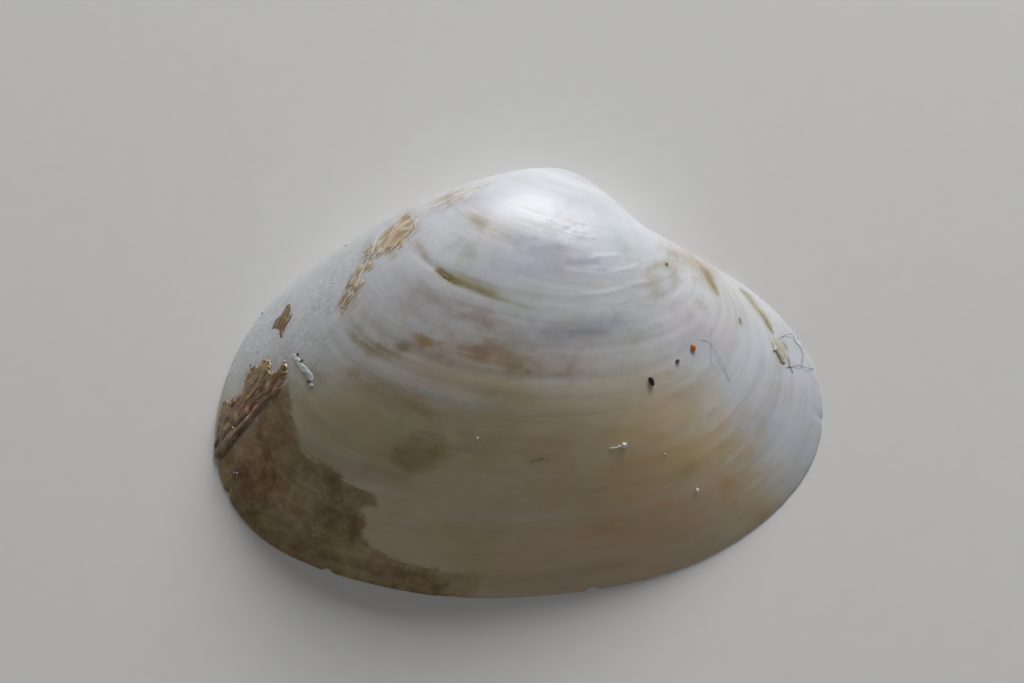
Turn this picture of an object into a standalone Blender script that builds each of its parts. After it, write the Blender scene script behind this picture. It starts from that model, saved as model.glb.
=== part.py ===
"""Oval trough shell: the right valve of a small trough clam.

Lengths in the constants are millimetres, the model is in metres, +Z up.
X runs along the shell (anterior end at +X), Y across it (beak at +Y).
The valve lies on the flat of its margin at Z = 0, hollow side down.
Origin: centre of the valve's box in X and Y, in the plane of the margin.
"""
import math

import bmesh
import bpy
import numpy as np

# ---------------------------------------------------------------- dimensions
MM = 0.001

# Outline of the margin today, from the beak round the anterior end, the
# ventral edge and the posterior end, and back to the beak. X, Y from the beak.
MARGIN_NOW = [
    (5.2, -3.1), (8.8, -5.6), (11.3, -9.9), (10.7, -14.3),      # anterior
    (7.2, -17.8), (2.0, -19.8), (-6.2, -20.2), (-10.5, -19.4),  # ventral
    (-16.4, -16.6), (-18.5, -12.3), (-17.6, -7.7),              # posterior
    (-14.9, -3.9), (-9.9, -0.7), (-5.9, 0.6),                   # hind slope
]
# Outline the shell had when young, drawn at the grown shell's scale: rounder
# in front and fuller behind the beak.
MARGIN_YOUNG = [
    (5.3, -2.4), (8.5, -6.2), (9.0, -9.2), (7.5, -13.1), (2.0, -16.9),
    (-7.0, -18.1), (-15.6, -15.2), (-19.3, -8.6), (-16.9, -1.6), (-6.2, 1.7),
]
# Growth: every earlier margin is the outline scaled down towards the beak and
# turned up about the coiling axis, which runs through the beak.
COIL_TILT = math.radians(-22.3)   # the coiling axis against the X axis
COIL_RATE = 0.66                  # turn for each e-fold of growth, radians
COIL_LATE = 0.42                  # extra turn gained over the whole growth
BEAK_GAP = 0.35                   # the margin's distance from that axis at the beak
FIRST_SIZE = 0.045                # size of the smallest margin kept
RINGS = 26
AROUND = 84

WALL = 1.15                       # wall, measured in the plane of a margin
HINGE_WIDTH = 2.7                 # hinge plate under the beak
LATERAL_WIDTH = 1.75              # plate along the lateral teeth
HINGE_TURN = (20.0, 46.0)         # degrees over which the plate thins out
CAVITY_FIRST = 0.20               # size at which the hollow ends, near the beak
CAVITY_ROUND = 0.36               # size at which its end starts to round off
CAVITY_RINGS = 16
CAVITY_AROUND = 64
CUT_BELOW = 0.8                   # how far cutters run past the margin plane

PIT_SIZE = (0.72, 1.15, 0.70)     # ligament pit, half sizes
PIT_AT = (-1.05, -1.75)           # its centre, from the beak
PIT_TURN = math.radians(-24.0)
SLOT_SIZE = (0.36, 1.30, 1.00)    # slots between the cardinal teeth
SLOTS = [((0.25, -1.35), 6.0), ((1.15, -1.75), 38.0)]
GROOVE_RADIUS = 0.30              # grooves between the lateral teeth
GROOVE_INSET = 0.88
GROOVE_FRONT = (2.9, 7.4)         # distances from the beak along the margin
GROOVE_BACK = (3.2, 9.4)

COLOUR = (0.79, 0.76, 0.70, 1.0)
ROUGHNESS = 0.32

NAME = "right_valve"


# ------------------------------------------------------------------ geometry
def smoothstep(x, lo, hi):
    t = np.clip((np.asarray(x, float) - lo) / (hi - lo), 0.0, 1.0)
    return t * t * (3.0 - 2.0 * t)


def closed_outline(points, count):
    """Natural cubic spline from the beak through the points and back to the
    beak, read at count + 1 places evenly spaced along its length."""
    p = np.array([(0.0, 0.0)] + list(points) + [(0.0, 0.0)])
    t = np.concatenate([[0.0], np.cumsum(np.linalg.norm(np.diff(p, axis=0), axis=1) ** 0.6)])
    n = len(p)
    h = np.diff(t)
    a = np.zeros((n, n))
    b = np.zeros((n, 2))
    a[0, 0] = a[-1, -1] = 1.0
    for i in range(1, n - 1):
        a[i, i - 1], a[i, i], a[i, i + 1] = h[i - 1], 2.0 * (h[i - 1] + h[i]), h[i]
        b[i] = 6.0 * ((p[i + 1] - p[i]) / h[i] - (p[i] - p[i - 1]) / h[i - 1])
    m = np.linalg.solve(a, b)
    q = np.linspace(0.0, t[-1], 1200)
    j = np.clip(np.searchsorted(t, q, side="right") - 1, 0, n - 2)
    u = ((t[j + 1] - q) / h[j])[:, None]
    v = ((q - t[j]) / h[j])[:, None]
    c = u * p[j] + v * p[j + 1] + ((u ** 3 - u) * m[j] + (v ** 3 - v) * m[j + 1]) * (h[j] ** 2 / 6.0)[:, None]
    length = np.concatenate([[0.0], np.cumsum(np.linalg.norm(np.diff(c, axis=0), axis=1))])
    s = np.linspace(0.0, length[-1], count + 1)
    return np.stack([np.interp(s, length, c[:, 0]), np.interp(s, length, c[:, 1])], axis=1), s


AXIS = np.array([math.cos(COIL_TILT), math.sin(COIL_TILT)])      # along the coiling axis
DOWN = np.array([AXIS[1], -AXIS[0]])                             # from it towards the ventral edge


def turn(size):
    """Angle a margin of this size has been turned up about the coiling axis."""
    return -COIL_RATE * math.log(size) + COIL_LATE * (1.0 - size)


def section(now, young, size):
    """Margin of this size in its own plane: distance along the coiling axis,
    and distance from it."""
    xy = now * size + young * (1.0 - size)
    return size * np.stack([xy @ AXIS, np.hypot(np.maximum(xy @ DOWN, 0.0), BEAK_GAP)], axis=1)


def to_space(flat, angle):
    along, out = flat[:, 0], flat[:, 1]
    x = along * AXIS[0] + out * math.cos(angle) * DOWN[0]
    y = along * AXIS[1] + out * math.cos(angle) * DOWN[1]
    return np.stack([x, y, out * math.sin(angle)], axis=1)


def plate_width(distance, total):
    """Width of the rim at a distance along the margin from the beak."""
    d = np.minimum(distance, total - distance)
    hinge = HINGE_WIDTH - LATERAL_WIDTH
    lateral = LATERAL_WIDTH - WALL
    return WALL + lateral * (1.0 - smoothstep(d, 8.0, 11.5)) + hinge * (1.0 - smoothstep(d, 1.6, 3.4))


def inner_section(outer, size, distance, total, angle, squeeze):
    """The outer section drawn in by the wall or the hinge plate: square to
    the edge on large sections, towards the middle on small ones."""
    middle = np.array([outer[:, 0].mean(), 0.5 * (outer[:, 1].min() + outer[:, 1].max())])
    low, high = (math.radians(v) for v in HINGE_TURN)
    plate = plate_width(distance, total) - WALL
    inset = (WALL + plate * (1.0 - float(smoothstep(angle, low, high))))[:, None]
    along = np.roll(outer, -1, axis=0) - np.roll(outer, 1, axis=0)
    along /= np.linalg.norm(along, axis=1)[:, None]
    square = outer + inset * np.stack([-along[:, 1], along[:, 0]], axis=1)
    ray = outer - middle
    reach = np.linalg.norm(ray, axis=1)[:, None]
    radial = middle + ray / reach * np.maximum(reach - inset, 0.12 * reach)
    mix = float(smoothstep(size, 0.36, 0.60))
    inner = square * mix + radial * (1.0 - mix)
    return middle + (inner - middle) * squeeze, middle


# --------------------------------------------------------------- mesh makers
def add_ring(bm, points):
    return [bm.verts.new(p) for p in points]


def bridge(bm, low, high):
    """Faces between two closed rings."""
    for i in range(len(low)):
        j = (i + 1) % len(low)
        bm.faces.new((low[i], low[j], high[j], high[i]))


def finish(bm, name, collection):
    bmesh.ops.recalc_face_normals(bm, faces=bm.faces)
    mesh = bpy.data.meshes.new(name)
    bm.to_mesh(mesh)
    bm.free()
    obj = bpy.data.objects.new(name, mesh)
    collection.objects.link(obj)
    return obj


def earlier_margins():
    """Every margin from the present one back to the first, in millimetres
    from the beak."""
    now, _ = closed_outline(MARGIN_NOW, AROUND)
    young, _ = closed_outline(MARGIN_YOUNG, AROUND)
    rings = []
    for k in range(RINGS + 1):
        size = FIRST_SIZE + (1.0 - FIRST_SIZE) * (1.0 - k / RINGS) ** 1.25
        rings.append(to_space(section(now[:-1], young[:-1], size), turn(size) if k else 0.0))
    return rings


def valve_blank(collection, margins, offset):
    """Solid body under the outer surface: a loft of every earlier margin."""
    bm = bmesh.new()
    shift = np.array([offset[0], offset[1], 0.0])
    rings = [add_ring(bm, p * MM + shift) for p in margins]
    for low, high in zip(rings[:-1], rings[1:]):
        bridge(bm, low, high)
    bm.faces.new(rings[0])
    bm.faces.new(rings[-1])
    return finish(bm, NAME, collection)


def hollow(collection, offset):
    """The space the animal filled: inner sections lofted from below the
    margin up to a rounded end under the beak."""
    now, dist = closed_outline(MARGIN_NOW, CAVITY_AROUND)
    young, _ = closed_outline(MARGIN_YOUNG, CAVITY_AROUND)
    total = dist[-1]
    dist = dist[:-1]
    bm = bmesh.new()
    rings = []
    shift = np.array([offset[0], offset[1], 0.0])
    for k in range(CAVITY_RINGS):
        size = 1.0 + (CAVITY_FIRST - 1.0) * (k / CAVITY_RINGS) ** 0.9
        rounding = max(0.0, (CAVITY_ROUND - size) / (CAVITY_ROUND - CAVITY_FIRST))
        squeeze = math.sqrt(max(0.0, 1.0 - rounding ** 2))
        angle = turn(size)
        flat, middle = inner_section(section(now[:-1], young[:-1], size), size, dist, total, angle, squeeze)
        p = to_space(flat, angle) * MM + shift
        if k == 0:
            rings.append(add_ring(bm, p - np.array([0.0, 0.0, CUT_BELOW * MM])))
        rings.append(add_ring(bm, p))
    for low, high in zip(rings[:-1], rings[1:]):
        bridge(bm, low, high)
    bm.faces.new(rings[0])
    last_flat = section(now[:-1], young[:-1], CAVITY_FIRST)
    _, middle = inner_section(last_flat, CAVITY_FIRST, dist, total, turn(CAVITY_FIRST), 1.0)
    end = bm.verts.new((to_space(middle[None], turn(CAVITY_FIRST)) * MM + shift)[0])
    last = rings[-1]
    for i in range(len(last)):
        bm.faces.new((last[i], last[(i + 1) % len(last)], end))
    return finish(bm, "hollow", collection)


def ligament_pit(collection, offset):
    bm = bmesh.new()
    bmesh.ops.create_uvsphere(bm, u_segments=16, v_segments=10, radius=1.0)
    for v in bm.verts:
        v.co = (v.co.x * PIT_SIZE[0] * MM, v.co.y * PIT_SIZE[1] * MM, v.co.z * PIT_SIZE[2] * MM)
    obj = finish(bm, "ligament_pit", collection)
    obj.location = (offset[0] + PIT_AT[0] * MM, offset[1] + PIT_AT[1] * MM, 0.0)
    obj.rotation_euler = (0.0, 0.0, PIT_TURN)
    return obj


def tooth_slot(collection, offset, index, at, degrees):
    bm = bmesh.new()
    bmesh.ops.create_cube(bm, size=1.0)
    for v in bm.verts:
        narrow = 0.7 if v.co.z > 0.0 else 1.0
        v.co = (v.co.x * SLOT_SIZE[0] * narrow * MM, v.co.y * SLOT_SIZE[1] * narrow * MM, v.co.z * SLOT_SIZE[2] * MM)
    obj = finish(bm, "tooth_slot_%d" % index, collection)
    obj.location = (offset[0] + at[0] * MM, offset[1] + at[1] * MM, 0.0)
    obj.rotation_euler = (0.0, 0.0, math.radians(degrees))
    return obj


def lateral_groove(collection, offset, name, start, stop):
    """A round-bottomed groove that follows the margin inside its edge."""
    line, dist = closed_outline(MARGIN_NOW, 420)
    tangent = np.gradient(line, axis=0)
    tangent /= np.linalg.norm(tangent, axis=1)[:, None]
    inward = np.stack([tangent[:, 1], -tangent[:, 0]], axis=1)
    curve = bpy.data.curves.new(name, "CURVE")
    curve.dimensions = "3D"
    curve.bevel_depth = GROOVE_RADIUS * MM
    curve.bevel_resolution = 2
    curve.use_fill_caps = True
    steps = 12
    spline = curve.splines.new("POLY")
    spline.points.add(steps)
    for i in range(steps + 1):
        s = start + (stop - start) * i / steps
        x, y = (np.interp(s, dist, line[:, c] + GROOVE_INSET * inward[:, c]) for c in (0, 1))
        ease = min(i, steps - i) / steps
        z = -0.75 * GROOVE_RADIUS * (1.0 - min(1.0, 4.0 * ease))
        spline.points[i].co = (offset[0] + x * MM, offset[1] + y * MM, z * MM, 1.0)
    tube = bpy.data.objects.new(name + "_curve", curve)
    collection.objects.link(tube)
    bpy.context.view_layer.update()
    mesh = bpy.data.meshes.new_from_object(tube.evaluated_get(bpy.context.evaluated_depsgraph_get()))
    bm = bmesh.new()
    bm.from_mesh(mesh)
    bmesh.ops.remove_doubles(bm, verts=bm.verts, dist=1e-6)
    obj = finish(bm, name, collection)
    obj.matrix_world = tube.matrix_world
    bpy.data.objects.remove(tube)
    bpy.data.meshes.remove(mesh)
    return obj


# --------------------------------------------------------------------- build
def main():
    for obj in list(bpy.data.objects):
        bpy.data.objects.remove(obj)

    parts = bpy.data.collections.new("oval_trough_shell")
    cutters = bpy.data.collections.new("cutters")
    bpy.context.scene.collection.children.link(parts)
    bpy.context.scene.collection.children.link(cutters)

    margins = earlier_margins()
    every = np.concatenate(margins)[:, :2]
    offset = -0.5 * (every.min(axis=0) + every.max(axis=0)) * MM

    valve = valve_blank(parts, margins, offset)
    total = closed_outline(MARGIN_NOW, AROUND)[1][-1]
    tools = [hollow(cutters, offset), ligament_pit(cutters, offset)]
    for i, (at, degrees) in enumerate(SLOTS):
        tools.append(tooth_slot(cutters, offset, i + 1, at, degrees))
    tools.append(lateral_groove(cutters, offset, "groove_front", *GROOVE_FRONT))
    tools.append(lateral_groove(cutters, offset, "groove_back", total - GROOVE_BACK[1], total - GROOVE_BACK[0]))
    for tool in tools:
        tool.hide_render = True
        tool.display_type = "WIRE"
        cut = valve.modifiers.new(tool.name, "BOOLEAN")
        cut.operation = "DIFFERENCE"
        cut.solver = "EXACT"
        cut.object = tool

    material = bpy.data.materials.new("shell")
    material.use_nodes = True
    surface = material.node_tree.nodes["Principled BSDF"]
    surface.inputs["Base Color"].default_value = COLOUR
    surface.inputs["Roughness"].default_value = ROUGHNESS
    surface.inputs["Metallic"].default_value = 0.0
    valve.data.materials.append(material)
    valve.data.shade_smooth()
    valve.data.set_sharp_from_angle(angle=math.radians(40.0))


main()
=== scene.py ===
"""Oval trough shell: the finish of the right valve, lying on its margin.

Lengths in the constants are millimetres from the beak, as in the model's own
source, and the scene is in metres. The growth surface repeats the model's
formulas at a fine pitch and adds what is worn, grown or stuck on it.
"""
import math

import bmesh
import bpy
import numpy as np
from mathutils import Matrix, Vector
from mathutils.bvhtree import BVHTree


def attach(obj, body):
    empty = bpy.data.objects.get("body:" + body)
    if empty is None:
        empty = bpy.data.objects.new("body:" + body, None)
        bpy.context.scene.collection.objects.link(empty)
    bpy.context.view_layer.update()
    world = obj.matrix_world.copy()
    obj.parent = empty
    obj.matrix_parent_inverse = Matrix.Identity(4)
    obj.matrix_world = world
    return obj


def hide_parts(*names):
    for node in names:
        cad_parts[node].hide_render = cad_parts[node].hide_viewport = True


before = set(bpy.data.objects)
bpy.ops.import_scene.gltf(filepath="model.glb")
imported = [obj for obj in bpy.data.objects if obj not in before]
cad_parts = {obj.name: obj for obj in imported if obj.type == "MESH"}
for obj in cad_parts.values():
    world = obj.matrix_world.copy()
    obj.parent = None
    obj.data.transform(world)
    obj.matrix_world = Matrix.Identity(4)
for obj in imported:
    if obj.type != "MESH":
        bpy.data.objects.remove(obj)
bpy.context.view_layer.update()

MM = 0.001

# ------------------------------------------------- growth surface, as modelled
MARGIN_NOW = [
    (5.2, -3.1), (8.8, -5.6), (11.3, -9.9), (10.7, -14.3),
    (7.2, -17.8), (2.0, -19.8), (-6.2, -20.2), (-10.5, -19.4),
    (-16.4, -16.6), (-18.5, -12.3), (-17.6, -7.7),
    (-14.9, -3.9), (-9.9, -0.7), (-5.9, 0.6),
]
MARGIN_YOUNG = [
    (5.3, -2.4), (8.5, -6.2), (9.0, -9.2), (7.5, -13.1), (2.0, -16.9),
    (-7.0, -18.1), (-15.6, -15.2), (-19.3, -8.6), (-16.9, -1.6), (-6.2, 1.7),
]
COIL_TILT = math.radians(-22.3)
COIL_RATE = 0.66
COIL_LATE = 0.42
BEAK_GAP = 0.35
FIRST_SIZE = 0.045
WALL = 1.15
HINGE_WIDTH = 2.7
LATERAL_WIDTH = 1.75
HINGE_TURN = (20.0, 46.0)
CAVITY_FIRST = 0.20
CAVITY_ROUND = 0.36
PIT_SIZE = (0.72, 1.15, 0.70)
PIT_AT = (-1.05, -1.75)
PIT_TURN = math.radians(-24.0)
SLOT_SIZE = (0.36, 1.30, 1.00)
SLOTS = [((0.25, -1.35), 6.0), ((1.15, -1.75), 38.0)]
GROOVE_RADIUS = 0.30
GROOVE_INSET = 0.88
GROOVE_FRONT = (2.9, 7.4)
GROOVE_BACK = (3.2, 9.4)

AXIS = np.array([math.cos(COIL_TILT), math.sin(COIL_TILT)])
DOWN = np.array([AXIS[1], -AXIS[0]])


def smoothstep(x, lo, hi):
    t = np.clip((np.asarray(x, float) - lo) / (hi - lo), 0.0, 1.0)
    return t * t * (3.0 - 2.0 * t)


def closed_outline(points, count):
    """Natural cubic spline from the beak through the points and back to the
    beak, read at count + 1 places evenly spaced along its length."""
    p = np.array([(0.0, 0.0)] + list(points) + [(0.0, 0.0)])
    t = np.concatenate([[0.0], np.cumsum(np.linalg.norm(np.diff(p, axis=0), axis=1) ** 0.6)])
    n = len(p)
    h = np.diff(t)
    a = np.zeros((n, n))
    b = np.zeros((n, 2))
    a[0, 0] = a[-1, -1] = 1.0
    for i in range(1, n - 1):
        a[i, i - 1], a[i, i], a[i, i + 1] = h[i - 1], 2.0 * (h[i - 1] + h[i]), h[i]
        b[i] = 6.0 * ((p[i + 1] - p[i]) / h[i] - (p[i] - p[i - 1]) / h[i - 1])
    m = np.linalg.solve(a, b)
    q = np.linspace(0.0, t[-1], 1200)
    j = np.clip(np.searchsorted(t, q, side="right") - 1, 0, n - 2)
    u = ((t[j + 1] - q) / h[j])[:, None]
    v = ((q - t[j]) / h[j])[:, None]
    c = u * p[j] + v * p[j + 1] + ((u ** 3 - u) * m[j] + (v ** 3 - v) * m[j + 1]) * (h[j] ** 2 / 6.0)[:, None]
    length = np.concatenate([[0.0], np.cumsum(np.linalg.norm(np.diff(c, axis=0), axis=1))])
    s = np.linspace(0.0, length[-1], count + 1)
    return np.stack([np.interp(s, length, c[:, 0]), np.interp(s, length, c[:, 1])], axis=1), s


def turn(size):
    return -COIL_RATE * math.log(size) + COIL_LATE * (1.0 - size)


def section(now, young, size):
    xy = now * size + young * (1.0 - size)
    return size * np.stack([xy @ AXIS, np.hypot(np.maximum(xy @ DOWN, 0.0), BEAK_GAP)], axis=1)


def to_space(flat, angle):
    along, out = flat[:, 0], flat[:, 1]
    x = along * AXIS[0] + out * math.cos(angle) * DOWN[0]
    y = along * AXIS[1] + out * math.cos(angle) * DOWN[1]
    return np.stack([x, y, out * math.sin(angle)], axis=1)


def model_offset():
    """Shift from the beak to the model's origin, from the margins as modelled."""
    now, _ = closed_outline(MARGIN_NOW, 84)
    young, _ = closed_outline(MARGIN_YOUNG, 84)
    every = []
    for k in range(27):
        size = FIRST_SIZE + (1.0 - FIRST_SIZE) * (1.0 - k / 26) ** 1.25
        every.append(to_space(section(now[:-1], young[:-1], size), turn(size) if k else 0.0)[:, :2])
    every = np.concatenate(every)
    return -0.5 * (every.min(axis=0) + every.max(axis=0))


OFFSET = np.append(model_offset(), 0.0)

# ------------------------------------------------------------ camera and plan
# The viewpoint: 72 degrees above the table on the ventral side. Marks are laid
# out on the plan seen from there, in steps of 1/1024 of its width.
VIEW_TILT = math.radians(18.0)
VIEW_TWIST = math.radians(3.5)
FOCAL = 3500.0
PLAN_SCALE = 613.0 / 30.0 * 29.34 / 30.0
BEAK_ON_PLAN = (575.74, 199.81)
CENTRE = (512.0, 341.5)
RIGHT = np.array([math.cos(VIEW_TWIST), -math.sin(VIEW_TWIST), 0.0])
LEVEL = np.array([math.sin(VIEW_TWIST), math.cos(VIEW_TWIST), 0.0])
UP = LEVEL * math.cos(VIEW_TILT) + np.array([0.0, 0.0, math.sin(VIEW_TILT)])
BACK = -LEVEL * math.sin(VIEW_TILT) + np.array([0.0, 0.0, math.cos(VIEW_TILT)])
DISTANCE = FOCAL / PLAN_SCALE
EYE = (-(BEAK_ON_PLAN[0] - CENTRE[0]) / PLAN_SCALE * RIGHT
       + (BEAK_ON_PLAN[1] - CENTRE[1]) / PLAN_SCALE * UP + DISTANCE * BACK)


def on_plan(p):
    """Plan coordinates of points given in millimetres from the beak."""
    rel = np.asarray(p) - EYE
    depth = -(rel @ BACK)
    return np.stack([CENTRE[0] + FOCAL * (rel @ RIGHT) / depth, CENTRE[1] - FOCAL * (rel @ UP) / depth], axis=-1)


def plan_ray(x, y):
    d = RIGHT * (x - CENTRE[0]) / FOCAL - UP * (y - CENTRE[1]) / FOCAL - BACK
    return d / np.linalg.norm(d)


# ---------------------------------------------------------------------- noise
_tables = {}


def noise2(x, y, seed):
    """Smooth value noise, -1 to 1."""
    if seed not in _tables:
        _tables[seed] = np.random.RandomState(seed).uniform(-1.0, 1.0, (256, 256))
    g = _tables[seed]
    x, y = np.broadcast_arrays(np.asarray(x, float), np.asarray(y, float))
    xi, yi = np.floor(x).astype(int), np.floor(y).astype(int)
    fx, fy = x - xi, y - yi
    fx = fx ** 3 * (fx * (fx * 6.0 - 15.0) + 10.0)
    fy = fy ** 3 * (fy * (fy * 6.0 - 15.0) + 10.0)
    a = g[xi & 255, yi & 255] * (1 - fx) + g[(xi + 1) & 255, yi & 255] * fx
    b = g[xi & 255, (yi + 1) & 255] * (1 - fx) + g[(xi + 1) & 255, (yi + 1) & 255] * fx
    return a * (1 - fy) + b * fy


def fractal2(x, y, seed, octaves=3, fall=0.55):
    total, size, norm = 0.0, 1.0, 0.0
    for k in range(octaves):
        total = total + size * noise2(np.asarray(x) * 2.0 ** k, np.asarray(y) * 2.0 ** k, seed + 31 * k)
        norm += size
        size *= fall
    return total / norm


# --------------------------------------------------------------- plan drawing
def line_distance(x, y, points):
    """Distance to a polyline, and how far along it the nearest point is."""
    best = np.full(np.shape(x), 1e9)
    along = np.zeros(np.shape(x))
    done = 0.0
    for (ax, ay), (bx, by) in zip(points[:-1], points[1:]):
        length = math.hypot(bx - ax, by - ay)
        t = np.clip(((x - ax) * (bx - ax) + (y - ay) * (by - ay)) / length ** 2, 0.0, 1.0)
        d = np.hypot(x - ax - t * (bx - ax), y - ay - t * (by - ay))
        nearer = d < best
        best = np.where(nearer, d, best)
        along = np.where(nearer, done + t * length, along)
        done += length
    return best, along / done


def line_offset(x, y, points):
    """Signed distance to a polyline, positive on its left, and the distance
    travelled along it at the nearest point."""
    best = np.full(np.shape(x), 1e9)
    signed = np.zeros(np.shape(x))
    along = np.zeros(np.shape(x))
    done = 0.0
    for (ax, ay), (bx, by) in zip(points[:-1], points[1:]):
        length = math.hypot(bx - ax, by - ay)
        t = np.clip(((x - ax) * (bx - ax) + (y - ay) * (by - ay)) / length ** 2, 0.0, 1.0)
        d = np.hypot(x - ax - t * (bx - ax), y - ay - t * (by - ay))
        side = np.sign((bx - ax) * (y - ay) - (by - ay) * (x - ax))
        nearer = d < best
        best = np.where(nearer, d, best)
        signed = np.where(nearer, d * side, signed)
        along = np.where(nearer, done + t * length, along)
        done += length
    return signed, along


def inside(x, y, points):
    """Distance to a closed outline, positive inside it."""
    ring = list(points) + [points[0]]
    d, _ = line_distance(x, y, ring)
    odd = np.zeros(np.shape(x), bool)
    for (ax, ay), (bx, by) in zip(ring[:-1], ring[1:]):
        if ay != by:
            odd ^= ((ay > y) != (by > y)) & (x < (bx - ax) * (y - ay) / (by - ay) + ax)
    return np.where(odd, d, -d)


def stroke(x, y, points, width, taper=0.15):
    """Soft line along a polyline, fading at both ends."""
    d, along = line_distance(x, y, points)
    ends = smoothstep(along, 0.0, taper) * (1.0 - smoothstep(along, 1.0 - taper, 1.0)) if taper else 1.0
    return np.exp(-(d / width) ** 2) * ends


def blob(x, y, cx, cy, rx, ry, degrees=0.0):
    """Soft oval spot with an uneven outline."""
    a = math.radians(degrees)
    coarse, fine = 0.55 * min(rx, ry) + 3.0, 0.20 * min(rx, ry) + 2.0
    uneven = 1.0 + 0.9 * noise2(x / coarse, y / coarse, 43) + 0.5 * noise2(x / fine, y / fine, 44)
    u = ((x - cx) * math.cos(a) + (y - cy) * math.sin(a)) / rx
    v = (-(x - cx) * math.sin(a) + (y - cy) * math.cos(a)) / ry
    return np.exp(-(u * u + v * v) * np.clip(uneven, 0.25, 2.5))


def soft_max(*layers):
    out = 1.0
    for layer in layers:
        out = out * (1.0 - np.clip(layer, 0.0, 1.0))
    return 1.0 - out


# ------------------------------------------------------------ relief of growth
# Growth checks: size of the shell when each was laid down, depth, half width
# in size, and the share of the ring (0 beak, anterior first) it shows on.
CHECKS = [
    (0.250, 0.003, 0.0045, 0.05, 0.95),
    (0.316, 0.006, 0.0050, 0.05, 0.95),
    (0.345, 0.004, 0.0040, 0.05, 0.55),
    (0.384, 0.011, 0.0055, 0.05, 0.95),
    (0.418, 0.005, 0.0040, 0.08, 0.50),
    (0.452, 0.005, 0.0040, 0.08, 0.50),
    (0.489, 0.016, 0.0065, 0.04, 0.96),
    (0.530, 0.004, 0.0050, 0.05, 0.95),
    (0.575, 0.005, 0.0060, 0.05, 0.95),
    (0.628, 0.013, 0.0070, 0.04, 0.96),
    (0.660, 0.004, 0.0050, 0.05, 0.95),
    (0.691, 0.012, 0.0065, 0.04, 0.96),
    (0.730, 0.004, 0.0050, 0.05, 0.95),
    (0.765, 0.005, 0.0050, 0.04, 0.45),
    (0.806, 0.008, 0.0060, 0.04, 0.96),
    (0.849, 0.008, 0.0060, 0.04, 0.96),
    (0.895, 0.004, 0.0050, 0.04, 0.96),
    (0.940, 0.005, 0.0050, 0.04, 0.96),
]
# Ridges (+) and grooves (-) on the plan: height, half width, points.
PLAN_RELIEF = [
    (0.014, 2.6, [(588, 257.5), (598, 256.8), (610, 255.8), (624, 254.2)]),
    (-0.020, 4.2, [(562, 264), (580, 266), (602, 264)]),
    (0.013, 2.4, [(604, 272.6), (618, 271.4), (632, 268), (643, 264)]),
    (0.015, 2.6, [(571, 293.5), (586, 294.8), (600, 294), (614, 290.6), (628, 286.4), (642, 282.6), (652, 277)]),
    (0.010, 2.4, [(606, 304.6), (617, 303.6), (627, 301.4)]),
    (0.012, 2.2, [(640, 297), (650, 293), (656, 286), (657, 280)]),
    (0.013, 2.3, [(672, 303), (678, 295), (680.5, 287), (679, 280)]),
    (0.004, 2.6, [(519, 201.5), (531, 206), (543, 212.6)]),
    (0.009, 2.4, [(545, 216), (563, 225), (578, 231)]),
    (0.016, 1.8, [(572, 229.2), (579, 232), (587, 233)]),
    (0.012, 2.0, [(574, 235), (586, 237.2), (598, 238)]),
    (-0.030, 2.0, [(567, 229.6), (569, 228.6)]),
    (-0.026, 2.0, [(574, 226), (577, 225.6)]),
    (-0.020, 1.9, [(583, 227), (586, 226.4)]),
    (0.008, 3.2, [(590, 222), (596, 226), (599, 232)]),
    (-0.014, 3.0, [(416, 244), (423, 257), (429, 265), (437, 270.6), (445, 277.6), (453, 283.6), (463, 287.6), (475, 291.4),
                   (487, 296.4), (500, 300)]),
    (0.012, 3.0, [(444, 268), (456, 277.6), (468, 283.4), (484, 289), (502, 294)]),
    (-0.008, 2.8, [(494, 298.8), (508, 303), (527, 308.8), (540, 312.8)]),
    (-0.008, 7.0, [(470, 217), (478, 221), (490, 229), (504, 236), (522, 243)]),
    (0.030, 4.0, [(384, 230), (376, 238), (372, 247), (368, 258), (361, 272), (354, 288), (347, 298), (342, 312)]),
    (0.040, 12.0, [(470, 193), (430, 208), (392, 226), (366, 256), (348, 290), (332, 322), (305, 360)]),
    (0.035, 6.5, [(368, 258), (352, 286), (341, 312), (328, 336), (312, 360), (300, 384)]),
    (-0.030, 2.6, [(530, 176.5), (505, 181), (476, 189.5), (446, 200), (414, 213)]),
    (-0.026, 2.4, [(744, 294), (753, 303), (760.5, 312), (766, 322), (772, 331), (777, 340)]),
    (-0.024, 3.2, [(657, 239), (668, 252), (675, 260)]),
    (-0.028, 3.0, [(700, 268), (707, 277), (713, 286), (719, 297)]),
    (0.010, 3.4, [(690, 250), (706, 262), (724, 276), (742, 290)]),
    (0.014, 2.4, [(722, 468), (738, 454), (750, 440), (757, 424)]),
    (0.012, 2.6, [(700, 440), (722, 424), (738, 404), (746, 384)]),
    (-0.010, 3.0, [(708, 458), (728, 444), (742, 428), (750, 410)]),
    (0.012, 2.4, [(740, 500), (762, 480), (776, 458), (784, 432)]),
    (-0.012, 2.2, [(530, 461.4), (540, 458.4), (550, 461)]),
]


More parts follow.
